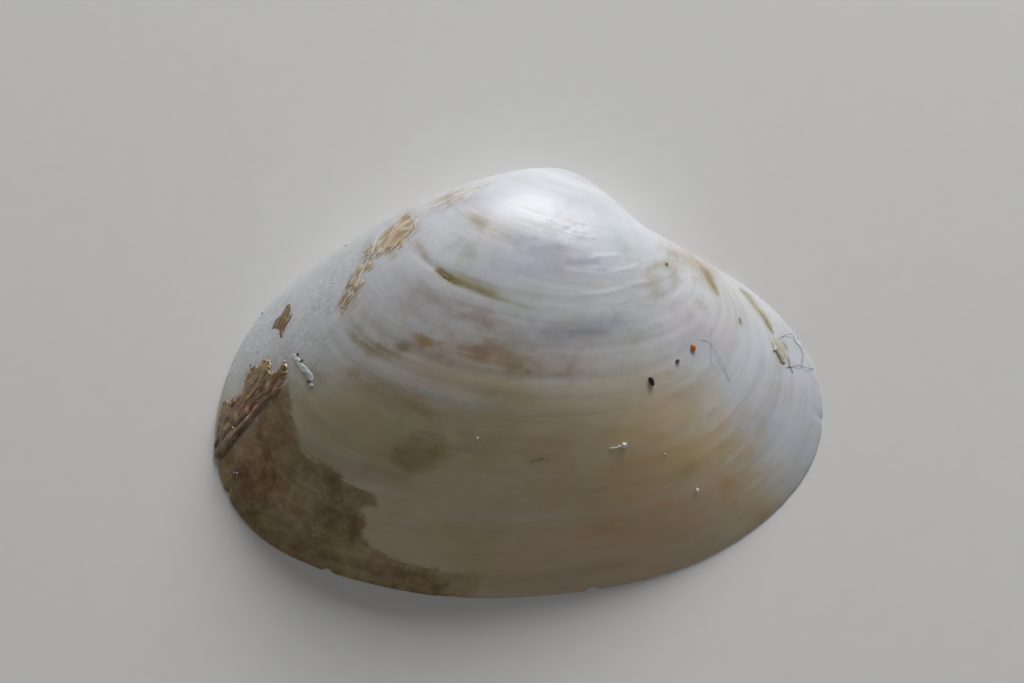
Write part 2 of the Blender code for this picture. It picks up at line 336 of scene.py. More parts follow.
def relief(share, size, p):
    """Height of the growth rings and of the shell's own unevenness, in
    millimetres, at a share of the way round and a size."""
    x, y = p[..., 0], p[..., 1]
    age = size + 0.0040 * noise2(x * 0.22 + 3.0, y * 0.22, 11) * smoothstep(size, 0.15, 0.4)
    height = np.zeros(np.shape(x))
    for at, depth, half, start, stop in CHECKS:
        here = smoothstep(share, start - 0.04, start + 0.04) * (1.0 - smoothstep(share, stop - 0.04, stop + 0.04))
        vary = 0.55 + 0.75 * noise2(x * 0.35 + at * 40.0, y * 0.2, 17)
        t = (age - at) / half
        shape = -np.exp(-t * t) + 0.65 * np.exp(-((t + 2.4) / 1.9) ** 2)
        height += depth * here * vary * shape
    lines = (0.0021 * noise2(age * 36.0, x * 0.16 + 5.0, 21)
             + 0.0006 * noise2(age * 90.0, x * 0.30 + 9.0, 22)
             + 0.0002 * noise2(age * 170.0, x * 0.40, 23))
    q = on_plan(p)
    front = soft_max(blob(q[..., 0], q[..., 1], 735, 300, 62, 26, 42), 0.6 * blob(q[..., 0], q[..., 1], 690, 275, 40, 20, 30))
    vary = (0.75 + 0.8 * noise2(x * 0.25, y * 0.25, 24)) * (1.0 + 0.35 * front)
    height += lines * vary
    height += 0.0036 * front * noise2(age * 70.0 + 3.0 * noise2(x * 0.7, y * 0.7, 25), x * 1.3, 26)
    beak = blob(q[..., 0], q[..., 1], 566, 214, 44, 24, 18)
    height += 0.0070 * beak * fractal2(x * 3.4, y * 3.4, 28, 2)
    height += 0.030 * fractal2(x * 0.16, y * 0.20, 31, 2) + 0.0035 * fractal2(x * 0.8, y * 0.8, 37, 2)
    for high, wide, points in PLAN_RELIEF:
        d, along = line_distance(q[..., 0], q[..., 1], points)
        ends = smoothstep(along, 0.0, 0.18) * (1.0 - smoothstep(along, 0.82, 1.0)) if len(points) > 2 else 1.0
        height += high * np.exp(-(d / wide) ** 2) * ends
    return height


# ------------------------------------------------------------------ the valve
AROUND = 256
FINE = 512
EDGE_FROM = 0.940
EDGE_RINGS = 12
TIP = 0.020
ROUND = 0.13
RIM_RINGS = 20
INNER_RINGS = 52
CORNER_REACH = 10


class Growth:
    """The outer surface at a chosen number of points round the margin."""

    def __init__(self, count):
        self.count = count
        now, dist = closed_outline(MARGIN_NOW, count)
        young, _ = closed_outline(MARGIN_YOUNG, count)
        self.now, self.young = now[:-1], young[:-1]
        self.total, self.dist = dist[-1], dist[:-1]
        self.share = np.arange(count) / count

    def ring(self, size):
        return to_space(section(self.now, self.young, size), turn(size) if size < 1.0 else 0.0)

    def normals(self, size):
        """Outward directions, from the ring's own neighbours."""
        e = 0.0015
        hi = min(size + e, 1.0)
        lo = size - e
        p = self.ring(size)
        grow = (self.ring(hi) - self.ring(lo)) / (hi - lo)
        along = np.roll(p, -1, axis=0) - np.roll(p, 1, axis=0)
        n = np.cross(along, grow)
        length = np.linalg.norm(n, axis=1)[:, None]
        n = n / np.maximum(length, 1e-9)
        sign = np.sign(n[self.count * 5 // 9, 2])
        return n * (sign if sign else 1.0), np.linalg.norm(grow, axis=1)

    def displaced(self, size):
        p = self.ring(size)
        n, pace = self.normals(size)
        fade = smoothstep(pace, 1.5, 9.0) * smoothstep(size, 0.03, 0.12)
        if size > 0.97:
            fade = fade * (1.0 - smoothstep(size, 0.985, 1.0))
        return p + n * (relief(self.share, np.full(self.count, size), p) * fade)[:, None]


def chip_depth(share, x, y):
    """How far the worn edge has been knocked back, in millimetres."""
    q = on_plan(np.stack([x, y, np.zeros_like(x)], axis=-1))
    wear = 0.035 * np.maximum(0.0, fractal2(share * 160.0, 0.0, 71, 3)) + 0.012 * noise2(share * 420.0, 0.0, 74)
    for cx, cy, r, deep in [(326, 575, 4.5, 0.16), (227, 495, 3.5, 0.14), (593, 592, 5.0, 0.18), (452, 594, 7.0, 0.06),
                            (266, 535, 5.0, 0.08), (716, 563, 6.0, 0.06), (823, 420, 4.0, 0.08)]:
        wear = wear + deep * np.exp(-(np.hypot(q[..., 0] - cx, q[..., 1] - cy) / r) ** 4)
    return np.maximum(wear, 0.0)


def plate_width(distance, total, wall):
    d = np.minimum(distance, total - distance)
    hinge = HINGE_WIDTH - LATERAL_WIDTH
    lateral = LATERAL_WIDTH - wall
    return wall + lateral * (1.0 - smoothstep(d, 8.0, 11.5)) + hinge * (1.0 - smoothstep(d, 1.6, 3.4))


EDGE_WALL = 0.50


def past_corner(direction, distance, total, reach):
    """Inset direction that turns gradually past the corner of the margin at
    the beak, so that the inset rings don't cross there."""
    near = 1.0 - smoothstep(np.minimum(distance, total - distance), 1.2, 3.2)
    wide = sum(np.roll(direction, k, axis=0) for k in range(-reach, reach + 1))
    wide /= np.linalg.norm(wide, axis=1)[:, None]
    mixed = direction + (wide - direction) * near[:, None]
    return mixed / np.linalg.norm(mixed, axis=1)[:, None]


def inner_ring(g, size):
    """The hollow's wall: as modelled, but thinning out towards the margin."""
    outer = section(g.now, g.young, size)
    angle = turn(size) if size < 1.0 else 0.0
    rounding = max(0.0, (CAVITY_ROUND - size) / (CAVITY_ROUND - CAVITY_FIRST))
    squeeze = math.sqrt(max(0.0, 1.0 - rounding ** 2))
    wall = EDGE_WALL + (WALL - EDGE_WALL) * (1.0 - float(smoothstep(size, 0.84, 1.0)))
    middle = np.array([outer[:, 0].mean(), 0.5 * (outer[:, 1].min() + outer[:, 1].max())])
    low, high = (math.radians(v) for v in HINGE_TURN)
    plate = plate_width(g.dist, g.total, wall) - wall
    inset = (wall + plate * (1.0 - float(smoothstep(angle, low, high))))[:, None]
    along = np.roll(outer, -1, axis=0) - np.roll(outer, 1, axis=0)
    along /= np.linalg.norm(along, axis=1)[:, None]
    aside = past_corner(np.stack([-along[:, 1], along[:, 0]], axis=1), g.dist, g.total, CORNER_REACH // 2)
    square = outer + inset * aside
    ray = outer - middle
    reach = np.linalg.norm(ray, axis=1)[:, None]
    radial = middle + ray / reach * np.maximum(reach - inset, 0.12 * reach)
    mix = float(smoothstep(size, 0.36, 0.60))
    inner = square * mix + radial * (1.0 - mix)
    return to_space(middle + (inner - middle) * squeeze, angle), to_space(middle[None], angle)[0]


def scars(x, y):
    """Muscle scars and the pallial line with its sinus, seen from inside:
    distances in millimetres, positive inside the scars."""
    front = inside(x, y, [(8.4, -5.9), (9.6, -7.6), (9.9, -9.3), (9.0, -10.0), (7.9, -9.2), (7.2, -7.6), (7.3, -6.2)])
    back = inside(x, y, [(-13.2, -5.1), (-15.0, -6.6), (-15.9, -8.8), (-15.0, -10.2), (-13.0, -10.0), (-11.6, -8.4),
                         (-11.6, -6.2)])
    line = [(8.8, -10.0), (8.2, -12.6), (6.3, -14.9), (2.8, -16.6), (-2.0, -17.3), (-7.0, -17.1), (-11.0, -15.9),
            (-13.2, -14.6), (-11.0, -13.6), (-8.2, -12.6), (-7.2, -11.4), (-8.2, -10.4), (-10.8, -10.0), (-13.0, -10.0)]
    pallial, _ = line_distance(x, y, line)
    return front, back, pallial


def rim_height(x, y, inset, width, distance, total):
    """Relief of the flat margin and hinge plate, upwards from the plane the
    valve rests on: the ligament pit, the slots beside the teeth, the grooves
    of the lateral teeth and the rounded inner lip."""
    up = np.zeros(np.shape(x))
    c, s = math.cos(-PIT_TURN), math.sin(-PIT_TURN)
    u, v = x - PIT_AT[0], y - PIT_AT[1]
    pu, pv = (u * c - v * s) / PIT_SIZE[0], (u * s + v * c) / PIT_SIZE[1]
    bowl = PIT_SIZE[2] * np.sqrt(np.maximum(0.0, 1.0 - pu ** 2 - pv ** 2))
    up = np.maximum(up, bowl * smoothstep(width - inset, 0.02, 0.55))
    for (sx, sy), degrees in SLOTS:
        a = math.radians(-degrees)
        u, v = x - sx, y - sy
        su, sv = u * math.cos(a) - v * math.sin(a), u * math.sin(a) + v * math.cos(a)
        d = np.hypot(np.maximum(np.abs(su) - 0.02, 0.0) / 0.19, np.maximum(np.abs(sv) - 0.44, 0.0) / 0.22)
        up = np.maximum(up, 0.5 * (1.0 - smoothstep(d, 0.35, 1.0)))
    d = np.minimum(distance, total - distance)
    front = distance < total / 2
    lo = np.where(front, GROOVE_FRONT[0], GROOVE_BACK[0])
    hi = np.where(front, GROOVE_FRONT[1], GROOVE_BACK[1])
    ease = smoothstep(d, lo, lo + 1.1) * (1.0 - smoothstep(d, hi - 1.1, hi))
    across = np.abs(inset - GROOVE_INSET) / GROOVE_RADIUS
    up = np.maximum(up, 0.95 * GROOVE_RADIUS * np.sqrt(np.maximum(0.0, 1.0 - across ** 2)) * ease)
    lip = smoothstep(width - inset, 0.28, 0.0) ** 2 * 0.10
    return up + lip + 0.006 * np.maximum(0.0, fractal2(x * 2.4, y * 2.4, 83, 3)) * smoothstep(inset, 0.2, 0.5)


def build_valve():
    a, b = Growth(AROUND), Growth(FINE)
    verts, tags, rings = [], [], []

    def add(points, size, share, side, inset=0.0):
        start = sum(len(v) for v in verts)
        verts.append(points)
        n = len(points)
        tags.append(np.stack([np.full(n, size), share, np.full(n, side), np.zeros(n) + inset], axis=1))
        rings.append(np.arange(start, start + n))
        return rings[-1]

    faces = []

    def bridge(low, high):
        n = len(low)
        i = np.arange(n)
        j = (i + 1) % n
        faces.extend(np.stack([low[i], low[j], high[j], high[i]], axis=1).tolist())

    def widen(coarse, fine):
        """Joins a ring to one with twice its points."""
        n = len(coarse)
        for i in range(n):
            k = (i + 1) % n
            f0, f1, f2 = fine[2 * i], fine[2 * i + 1], fine[(2 * i + 2) % (2 * n)]
            faces.append([coarse[i], f1, f0])
            faces.append([coarse[i], coarse[k], f1])
            faces.append([coarse[k], f2, f1])

    # outer surface, from the tip of the beak down to the margin
    sizes = np.concatenate([TIP + (0.10 - TIP) * (np.arange(16) / 16.0) ** 1.3, np.arange(0.10, 0.25, 0.0045),
                            np.arange(0.25, 0.62, 0.0027), np.arange(0.62, EDGE_FROM, 0.0046)])
    first = None
    for size in sizes:
        ring = add(a.displaced(size), size, a.share, 0.0)
        if first is not None:
            bridge(first, ring)
        first = ring
    tip = verts[0]
    centre = add(tip.mean(axis=0)[None] + 0.02 * (tip.mean(axis=0) - verts[2].mean(axis=0))[None], TIP, np.zeros(1), 0.0)
    r0 = rings[0]
    for i in range(AROUND):
        faces.append([r0[(i + 1) % AROUND], r0[i], centre[0]])

    # the last growth, down to the worn edge
    square = np.roll(b.now, -1, axis=0) - np.roll(b.now, 1, axis=0)
    square /= np.linalg.norm(square, axis=1)[:, None]
    inward = np.stack([square[:, 1], -square[:, 0]], axis=1)
    margin = b.ring(1.0)
    knocked = chip_depth(b.share, margin[:, 0], margin[:, 1])
    for k, size in enumerate(np.linspace(EDGE_FROM + 0.0037, 1.0, EDGE_RINGS)):
        p = b.displaced(size)
        z = p[:, 2]
        near = 1.0 - smoothstep(z, 0.0, 0.45)
        back = knocked * near + 0.07 * (1.0 - np.clip(z / ROUND, 0.0, 1.0)) ** 2
        p[:, :2] += inward * back[:, None]
        if k == EDGE_RINGS - 1:
            p[:, 2] = 0.035
        ring = add(p, size, b.share, 0.0)
        if k == 0:
            widen(first, ring)
        else:
            bridge(first, ring)
        first = ring

    # the flat of the margin and the hinge plate
    width = plate_width(b.dist, b.total, EDGE_WALL)
    aside = past_corner(inward, b.dist, b.total, CORNER_REACH)
    for k in range(RIM_RINGS):
        t = k / (RIM_RINGS - 1)
        inset = 0.12 + knocked + (width - 0.12 - knocked) * t
        p = margin.copy()
        p[:, :2] += aside * inset[:, None]
        p[:, 2] = rim_height(p[:, 0], p[:, 1], inset, width, b.dist, b.total)
        ring = add(p, 1.0, b.share, 1.0, inset)
        bridge(first, ring)
        first = ring

    # the hollow
    for k in range(1, INNER_RINGS):
        size = 1.0 + (CAVITY_FIRST - 1.0) * (k / INNER_RINGS) ** 0.92
        p, middle = inner_ring(a, size)
        q = p[:, :2]
        front, back, pallial = scars(q[:, 0], q[:, 1])
        deep = 0.035 * smoothstep(front, -0.15, 0.25) + 0.045 * smoothstep(back, -0.15, 0.3)
        deep += 0.03 * np.exp(-(pallial / 0.22) ** 2)
        p[:, 2] += deep + 0.012 * fractal2(q[:, 0] * 0.5, q[:, 1] * 0.5, 91, 3)
        ring = add(p, size, a.share, 1.0, 3.0)
        if k == 1:
            n = AROUND
            fine = first
            for i in range(n):
                j = (i + 1) % n
                f0, f1, f2 = fine[2 * i], fine[2 * i + 1], fine[(2 * i + 2) % (2 * n)]
                faces.append([f0, f1, ring[i]])
                faces.append([f1, ring[j], ring[i]])
                faces.append([f1, f2, ring[j]])
        else:
            bridge(first, ring)
        first = ring
    _, middle = inner_ring(a, CAVITY_FIRST)
    last = add(middle[None], CAVITY_FIRST, np.zeros(1), 1.0, 3.0)
    for i in range(AROUND):
        faces.append([first[i], first[(i + 1) % AROUND], last[0]])

    return np.concatenate(verts), np.concatenate(tags), faces


def make_object(name, verts_mm, faces, flip=False):
    mesh = bpy.data.meshes.new(name)
    mesh.from_pydata([tuple(v) for v in (np.asarray(verts_mm) + OFFSET) * MM], [], [list(map(int, f)) for f in faces])
    mesh.validate()
    bm = bmesh.new()
    bm.from_mesh(mesh)
    bmesh.ops.recalc_face_normals(bm, faces=bm.faces)
    bm.to_mesh(mesh)
    bm.free()
    mesh.shade_smooth()
    obj = bpy.data.objects.new(name, mesh)
    bpy.context.scene.collection.objects.link(obj)
    return obj


def put(obj, name, values):
    """A float on each point, for the material to read."""
    layer = obj.data.attributes.new(name, "FLOAT", "POINT")
    layer.data.foreach_set("value", np.asarray(values, np.float32))


verts, tags, faces = build_valve()
valve = make_object("valve_surface", verts, faces)

size_at, share_at, side_at, inset_at = tags.T
plan = on_plan(verts)
px, py = plan[:, 0], plan[:, 1]
vertex_normals = np.zeros(len(verts) * 3)
valve.data.vertices.foreach_get("normal", vertex_normals)
vertex_normals = vertex_normals.reshape(-1, 3)
to_eye = EYE - verts
to_eye /= np.linalg.norm(to_eye, axis=1)[:, None]
facing = smoothstep((vertex_normals * to_eye).sum(axis=1), -0.10, 0.08) * (side_at < 0.5)

# Tints and stains, laid out on the plan.
# Cream towards the ventral margin: partly the shell's own colour, partly painted warm bounce light.
warm_line = np.interp(px, [190, 250, 330, 400, 450, 500, 545, 600, 660, 720, 745, 770, 800, 830],
                      [402, 402, 396, 368, 364, 358, 384, 380, 380, 422, 456, 492, 524, 552])
warm = smoothstep(py - warm_line, -88.0, 64.0)
olive = soft_max(
    0.66 * stroke(px, py, [(432, 265), (440, 270.6), (448, 276.6), (456, 281.6), (468, 285.6)], 4.4, 0.3),
    0.46 * stroke(px, py, [(440, 271), (453, 280), (467, 285.6), (484, 292), (510, 302)], 5.0, 0.4),
    0.40 * stroke(px, py, [(432, 258), (450, 270), (468, 279), (490, 289), (522, 303)], 8.0, 0.4),
    0.20 * stroke(px, py, [(488, 294), (510, 302), (527, 308), (546, 314)], 5.0, 0.4),
    0.46 * stroke(px, py, [(464, 211), (478, 221), (494, 231)], 7.5, 0.4),
    0.24 * stroke(px, py, [(478, 224), (504, 236), (528, 246)], 8.0, 0.4),
    0.36 * blob(px, py, 406, 452, 44, 25, -10),
    0.20 * blob(px, py, 412, 456, 20, 13, -10),
    0.26 * stroke(px, py, [(396, 444), (400, 462), (414, 470), (430, 463), (438, 450)], 9.0, 0.1),
    0.34 * blob(px, py, 438, 452, 8, 8),
    0.42 * stroke(px, py, [(696, 257), (706, 273), (713, 285), (722, 302)], 5.0, 0.45),
    0.40 * stroke(px, py, [(704, 271), (710, 280), (716, 290), (721, 300)], 2.8, 0.35),
    0.24 * stroke(px, py, [(684, 252), (700, 270), (716, 296), (722, 320)], 12.0, 0.4),
    0.34 * stroke(px, py, [(696, 292), (703, 306), (707, 320)], 6.0, 0.4),
    0.42 * stroke(px, py, [(344, 318), (357, 337), (372, 349), (392, 353), (418, 351)], 9.0, 0.25),
    0.36 * stroke(px, py, [(344, 367), (358, 375), (374, 385), (396, 395), (412, 403), (431, 416), (466, 428)], 11.0, 0.35),
    0.34 * blob(px, py, 403, 346, 12, 5),
    0.30 * blob(px, py, 320, 335, 7, 6), 0.28 * blob(px, py, 326, 301, 4, 4),
    0.44 * blob(px, py, 654, 284, 20, 16, -30), 0.32 * stroke(px, py, [(640, 280), (648, 270), (662, 264), (674, 268), (676, 282), (668, 296)], 5.0, 0.2),
    0.30 * blob(px, py, 740.5, 320, 5.0, 8.5, 10),
    0.30 * blob(px, py, 712, 412, 11, 6, -35),
    0.25 * stroke(px, py, [(344, 300), (347, 290), (356, 292)], 6.0, 0.1),
    0.56 * stroke(px, py, [(734, 284), (748, 296), (764, 316), (777, 340)], 4.0, 0.25), 0.30 * blob(px, py, 782, 352, 9, 18, -14),
    0.20 * blob(px, py, 360, 316, 16, 12, 30), 0.24 * blob(px, py, 312, 376, 12, 12), 0.26 * blob(px, py, 470, 252, 18, 16, 30),
)
tan = soft_max(
    0.60 * blob(px, py, 425, 341, 13, 6.5, 12),
    0.34 * blob(px, py, 414, 345, 26, 9, 8), 0.22 * blob(px, py, 484, 357, 36, 11, 10),
    0.34 * stroke(px, py, [(648, 234), (668, 249), (688, 260), (706, 272), (724, 289)], 8.0, 0.3),
    0.26 * stroke(px, py, [(670, 240), (692, 254), (716, 272), (740, 292)], 6.0, 0.3),
    0.26 * blob(px, py, 540, 460, 14, 6, -10),
    0.40 * blob(px, py, 354, 373, 14, 7, 30),
    0.36 * stroke(px, py, [(342, 326), (362, 346), (392, 357)], 9.0, 0.3),
    0.38 * stroke(px, py, [(412, 234), (419, 246), (426, 259), (438, 271)], 4.8, 0.35),
    0.62 * stroke(px, py, [(432, 266), (444, 275), (458, 283.6)], 4.2, 0.3), 0.26 * stroke(px, py, [(452, 278), (470, 286), (494, 296)], 5.0, 0.4),
    0.26 * blob(px, py, 782, 350, 12, 20, -14), 0.34 * stroke(px, py, [(744, 294), (760, 312), (774, 334)], 5.0, 0.25),
    0.26 * blob(px, py, 312, 372, 14, 14), 0.28 * blob(px, py, 640, 378, 60, 7, -6),
    0.26 * blob(px, py, 560, 372, 40, 6),
)
pink = soft_max(
    0.44 * blob(px, py, 462, 303, 42, 12, 14), 0.38 * blob(px, py, 488, 322, 34, 10, 12),
    0.56 * blob(px, py, 475, 355, 20, 10, 12), 0.46 * blob(px, py, 507, 361, 14, 8, 12), 0.40 * blob(px, py, 488, 352, 46, 15, 10),
    0.30 * blob(px, py, 560, 364, 60, 10, 4), 0.30 * blob(px, py, 408, 306, 30, 20, 30), 0.26 * blob(px, py, 380, 330, 30, 14, 20),
    0.10 * blob(px, py, 700, 262, 24, 12, 36), 0.24 * blob(px, py, 268, 395, 24, 30), 0.20 * blob(px, py, 500, 420, 70, 16, 6),
)
# Peach, yellow and green over the ventral half: partly the shell's own tints, partly painted warm bounce light.
peach = soft_max(0.9 * blob(px, py, 520, 560, 110, 40), 0.7 * blob(px, py, 620, 540, 80, 30, -8), 0.8 * blob(px, py, 690, 520, 60, 26, -25),
                 0.5 * blob(px, py, 655, 575, 50, 20, -12), 0.45 * blob(px, py, 490, 440, 60, 20, 5), 0.5 * blob(px, py, 520, 500, 60, 20))
yellow = soft_max(0.95 * blob(px, py, 672, 464, 66, 26, -16), 0.7 * blob(px, py, 622, 474, 55, 26), 0.55 * blob(px, py, 640, 510, 36, 18),
                  0.5 * blob(px, py, 718, 450, 30, 14, -30), 0.4 * blob(px, py, 560, 452, 60, 18), 0.4 * blob(px, py, 660, 418, 40, 14, -6),
                  0.35 * blob(px, py, 430, 460, 40, 20))
green = soft_max(0.9 * blob(px, py, 352, 428, 70, 34, 20), 0.6 * blob(px, py, 400, 425, 60, 26, 20), 0.4 * blob(px, py, 520, 416, 90, 16, 4),
                 0.45 * blob(px, py, 340, 395, 44, 16, 25), 0.4 * blob(px, py, 780, 500, 36, 26, -40), 0.4 * blob(px, py, 560, 455, 50, 16),
                 0.4 * blob(px, py, 450, 545, 50, 20), 0.3 * blob(px, py, 590, 520, 40, 14))
# Bluish on the beak and the flanks where the key light falls: partly the shell's own tint, partly painted cool light.
blue = soft_max(0.9 * blob(px, py, 792, 400, 46, 70, -10), 0.5 * blob(px, py, 724, 345, 44, 36, 30), 0.75 * blob(px, py, 545, 262, 52, 15),
                0.7 * blob(px, py, 604, 262, 34, 12), 0.45 * blob(px, py, 600, 238, 60, 24), 0.5 * blob(px, py, 330, 276, 70, 34, -38),
                0.35 * blob(px, py, 262, 335, 34, 50, 20), 0.35 * blob(px, py, 530, 200, 80, 30), 0.3 * blob(px, py, 480, 262, 20, 12))
lavender = soft_max(0.70 * blob(px, py, 583, 331, 46, 11, 0), 0.45 * blob(px, py, 600, 322, 30, 9, -8), 0.60 * blob(px, py, 586, 265, 28, 6),
                    0.55 * blob(px, py, 548, 250, 28, 9, 6), 0.42 * blob(px, py, 556, 274, 50, 14, 4), 0.35 * blob(px, py, 655, 296, 22, 12, -20),
                    0.35 * blob(px, py, 520, 240, 22, 8, 22), 0.20 * blob(px, py, 690, 330, 20, 34, 10), 0.22 * blob(px, py, 640, 345, 60, 10, -8),
                    0.25 * blob(px, py, 436, 300, 20, 8, 20), 0.25 * blob(px, py, 500, 345, 30, 10, 10), 0.22 * blob(px, py, 760, 420, 16, 40, 20))
# Chalky white: the bands across the lower half are the shell's own; the strokes along the ridge crests right of the
# beak, the stroke on the posterior ridge and the spot on the beak are painted highlights.
chalk_and_sheen = soft_max(0.95 * stroke(px, py, [(356, 352), (384, 370), (405, 381), (432, 393), (468, 402), (505, 405)], 10.0, 0.25),
                 0.5 * blob(px, py, 402, 318, 26, 12, 30), 0.4 * blob(px, py, 556, 384, 40, 12, 0), 0.4 * blob(px, py, 590, 308, 50, 12, 0),
                 0.4 * stroke(px, py, [(470, 367), (521, 378), (556, 380), (608, 373), (643, 366)], 4.2),
                 0.7 * stroke(px, py, [(342, 286), (338, 302), (333, 318), (326, 330)], 4.0),
                 0.4 * blob(px, py, 582, 221, 22, 14, 10), 0.5 * blob(px, py, 440, 232, 22, 26, 20), 0.4 * blob(px, py, 390, 268, 20, 24, 10),
                 0.4 * stroke(px, py, [(571, 293.5), (600, 294), (628, 286.4), (650, 278)], 2.6),
                 0.4 * stroke(px, py, [(588, 257.5), (624, 254.2)], 2.6, 0.1), 0.4 * stroke(px, py, [(606, 272.6), (641, 265)], 2.6, 0.1),
                 0.45 * stroke(px, py, [(722, 468), (738, 454), (750, 440), (758, 420)], 4.6), 0.4 * stroke(px, py, [(775, 470), (782, 452)], 5.0),
                 0.35 * stroke(px, py, [(672, 303), (680, 290), (679, 280)], 3.0), 0.4 * blob(px, py, 800, 380, 20, 60, 8),
                 0.4 * stroke(px, py, [(690, 252), (712, 268), (736, 288), (752, 306)], 5.0))
granular = soft_max(0.9 * blob(px, py, 268, 330, 34, 46, 28), 0.7 * blob(px, py, 245, 372, 18, 34, 22), 0.7 * blob(px, py, 300, 352, 22, 20),
                    0.6 * blob(px, py, 318, 300, 30, 26, -40), 0.4 * blob(px, py, 345, 262, 26, 18, -40))
strip = soft_max(0.62 * stroke(px, py, [(424, 208), (404, 222), (390, 238), (376, 262)], 12.0, 0.25),
                 0.55 * stroke(px, py, [(380, 236), (370, 254), (362, 268), (354, 284), (346, 302), (340, 324)], 8.0, 0.25),
                 0.42 * stroke(px, py, [(516, 174), (480, 186), (462, 193), (440, 201), (410, 217)], 10.0, 0.35),
                 0.30 * blob(px, py, 398, 246, 22, 14, -45), 0.14 * blob(px, py, 446, 202, 34, 12, -24), 0.24 * blob(px, py, 352, 306, 16, 20, 30))

put(valve, "age", size_at)
put(valve, "share", share_at)
for name, field in (("olive", olive), ("tan", tan), ("pink", pink), ("peach", peach), ("yellow", yellow), ("green", green),
                    ("lavender", lavender), ("chalk_and_sheen", chalk_and_sheen), ("blue", blue), ("granular", granular), ("strip", strip)):
    put(valve, name, field * facing)
put(valve, "warm", warm)

film_line = [(190, 452), (222, 452), (236, 440), (256, 418), (268, 402), (280, 388), (289.6, 380), (291, 405), (295.5, 429),
             (301.4, 448), (307, 456.5), (317, 460.5), (333, 468.5), (350, 483), (366, 490), (378, 500), (380, 506), (362, 509),
             (368, 519.5), (362, 535), (374, 547), (394, 559), (413, 565), (437, 569), (447, 574.5), (470, 571), (488, 574),
             (480, 579), (478, 592), (470, 612), (320, 620), (180, 560)]
film = inside(px, py, film_line)
put(valve, "film", np.clip(film, -40.0, 40.0) / 40.0)
put(valve, "thin", 0.66 * smoothstep(px, 420.0, 484.0) + 0.22 * blob(px, py, 300, 520, 26, 40, 40) + 0.20 * blob(px, py, 350, 556, 30, 18, 20))

q = verts[:, :2]
front, back, pallial = scars(q[:, 0], q[:, 1])
put(valve, "scar", np.maximum(smoothstep(front, -0.25, 0.25), smoothstep(back, -0.25, 0.25)))
put(valve, "pallial", np.exp(-(pallial / 0.35) ** 2))

outside = np.array([all(side_at[i] < 0.5 for i in p.vertices) for p in valve.data.polygons])
valve.data.polygons.foreach_set("material_index", np.where(outside, 0, 1).astype(np.int32))


# ------------------------------------------------------------------ materials
class Tree:
    """A material's nodes, written as expressions."""

    def __init__(self, name):
        self.material = bpy.data.materials.new(name)
        self.material.use_nodes = True
        self.nodes = self.material.node_tree.nodes
        self.links = self.material.node_tree.links
        self.shader = self.nodes["Principled BSDF"]

    def feed(self, socket, value):
        if isinstance(value, bpy.types.NodeSocket):
            self.links.new(value, socket)
        else:
            socket.default_value = value

    def node(self, kind, inputs=(), output=0, **props):
        n = self.nodes.new(kind)
        for key, value in props.items():
            setattr(n, key, value)
        for key, value in dict(inputs).items():
            self.feed(n.inputs[key], value)
        return n.outputs[output]

    def attribute(self, name):
        return self.node("ShaderNodeAttribute", output="Fac", attribute_name=name)

    def math(self, operation, a, b=0.0, clamp=False):
        return self.node("ShaderNodeMath", {0: a, 1: b}, operation=operation, use_clamp=clamp)

    def add(self, a, b):
        return self.math("ADD", a, b)

    def mul(self, a, b):
        return self.math("MULTIPLY", a, b)

    def ramp(self, value, lo, hi, to_lo=0.0, to_hi=1.0, smooth=True):
        return self.node("ShaderNodeMapRange", {0: value, 1: lo, 2: hi, 3: to_lo, 4: to_hi},
                         interpolation_type="SMOOTHSTEP" if smooth else "LINEAR")

    def mix(self, factor, a, b, blend="MIX"):
        n = self.nodes.new("ShaderNodeMix")
        n.data_type = "RGBA"
        n.blend_type = blend
        self.feed(n.inputs[0], factor)
        self.feed(n.inputs[6], a)
        self.feed(n.inputs[7], b)
        return n.outputs[2]

    def tint(self, factor, base, colour):
        """The base darkened towards a filter of that colour."""
        return self.mix(factor, base, colour, "MULTIPLY")

    def position(self):
        return self.node("ShaderNodeTexCoord", output="Object")

    def noise(self, vector, scale, detail=3.0, rough=0.55, distortion=0.0):
        return self.node("ShaderNodeTexNoise", {"Vector": vector, "Scale": scale, "Detail": detail,
                                                "Roughness": rough, "Distortion": distortion})

    def combine(self, x, y, z):
        return self.node("ShaderNodeCombineXYZ", {0: x, 1: y, 2: z})

    def colours(self, value, stops):
        n = self.nodes.new("ShaderNodeValToRGB")
        ramp = n.color_ramp
        while len(ramp.elements) > 2:
            ramp.elements.remove(ramp.elements[-1])
        ramp.elements[0].position, ramp.elements[1].position = stops[0][0], stops[-1][0]
        ramp.elements[0].color, ramp.elements[1].color = (*stops[0][1], 1.0), (*stops[-1][1], 1.0)
        for at, colour in stops[1:-1]:
            ramp.elements.new(at).color = (*colour, 1.0)
        self.feed(n.inputs[0], value)
        return n.outputs[0]

    def bump(self, height, strength, distance, normal=None):
        inputs = {"Height": height, "Strength": strength, "Distance": distance}
        if normal is not None:
            inputs["Normal"] = normal
        return self.node("ShaderNodeBump", inputs)


def rgb(r, g, b):
    """Linear colour from the usual 0 to 255 values."""
    return tuple(c / 12.92 if c <= 0.04045 else ((c + 0.055) / 1.055) ** 2.4 for c in (r / 255, g / 255, b / 255))


def rgba(r, g, b):
    return (*rgb(r, g, b), 1.0)


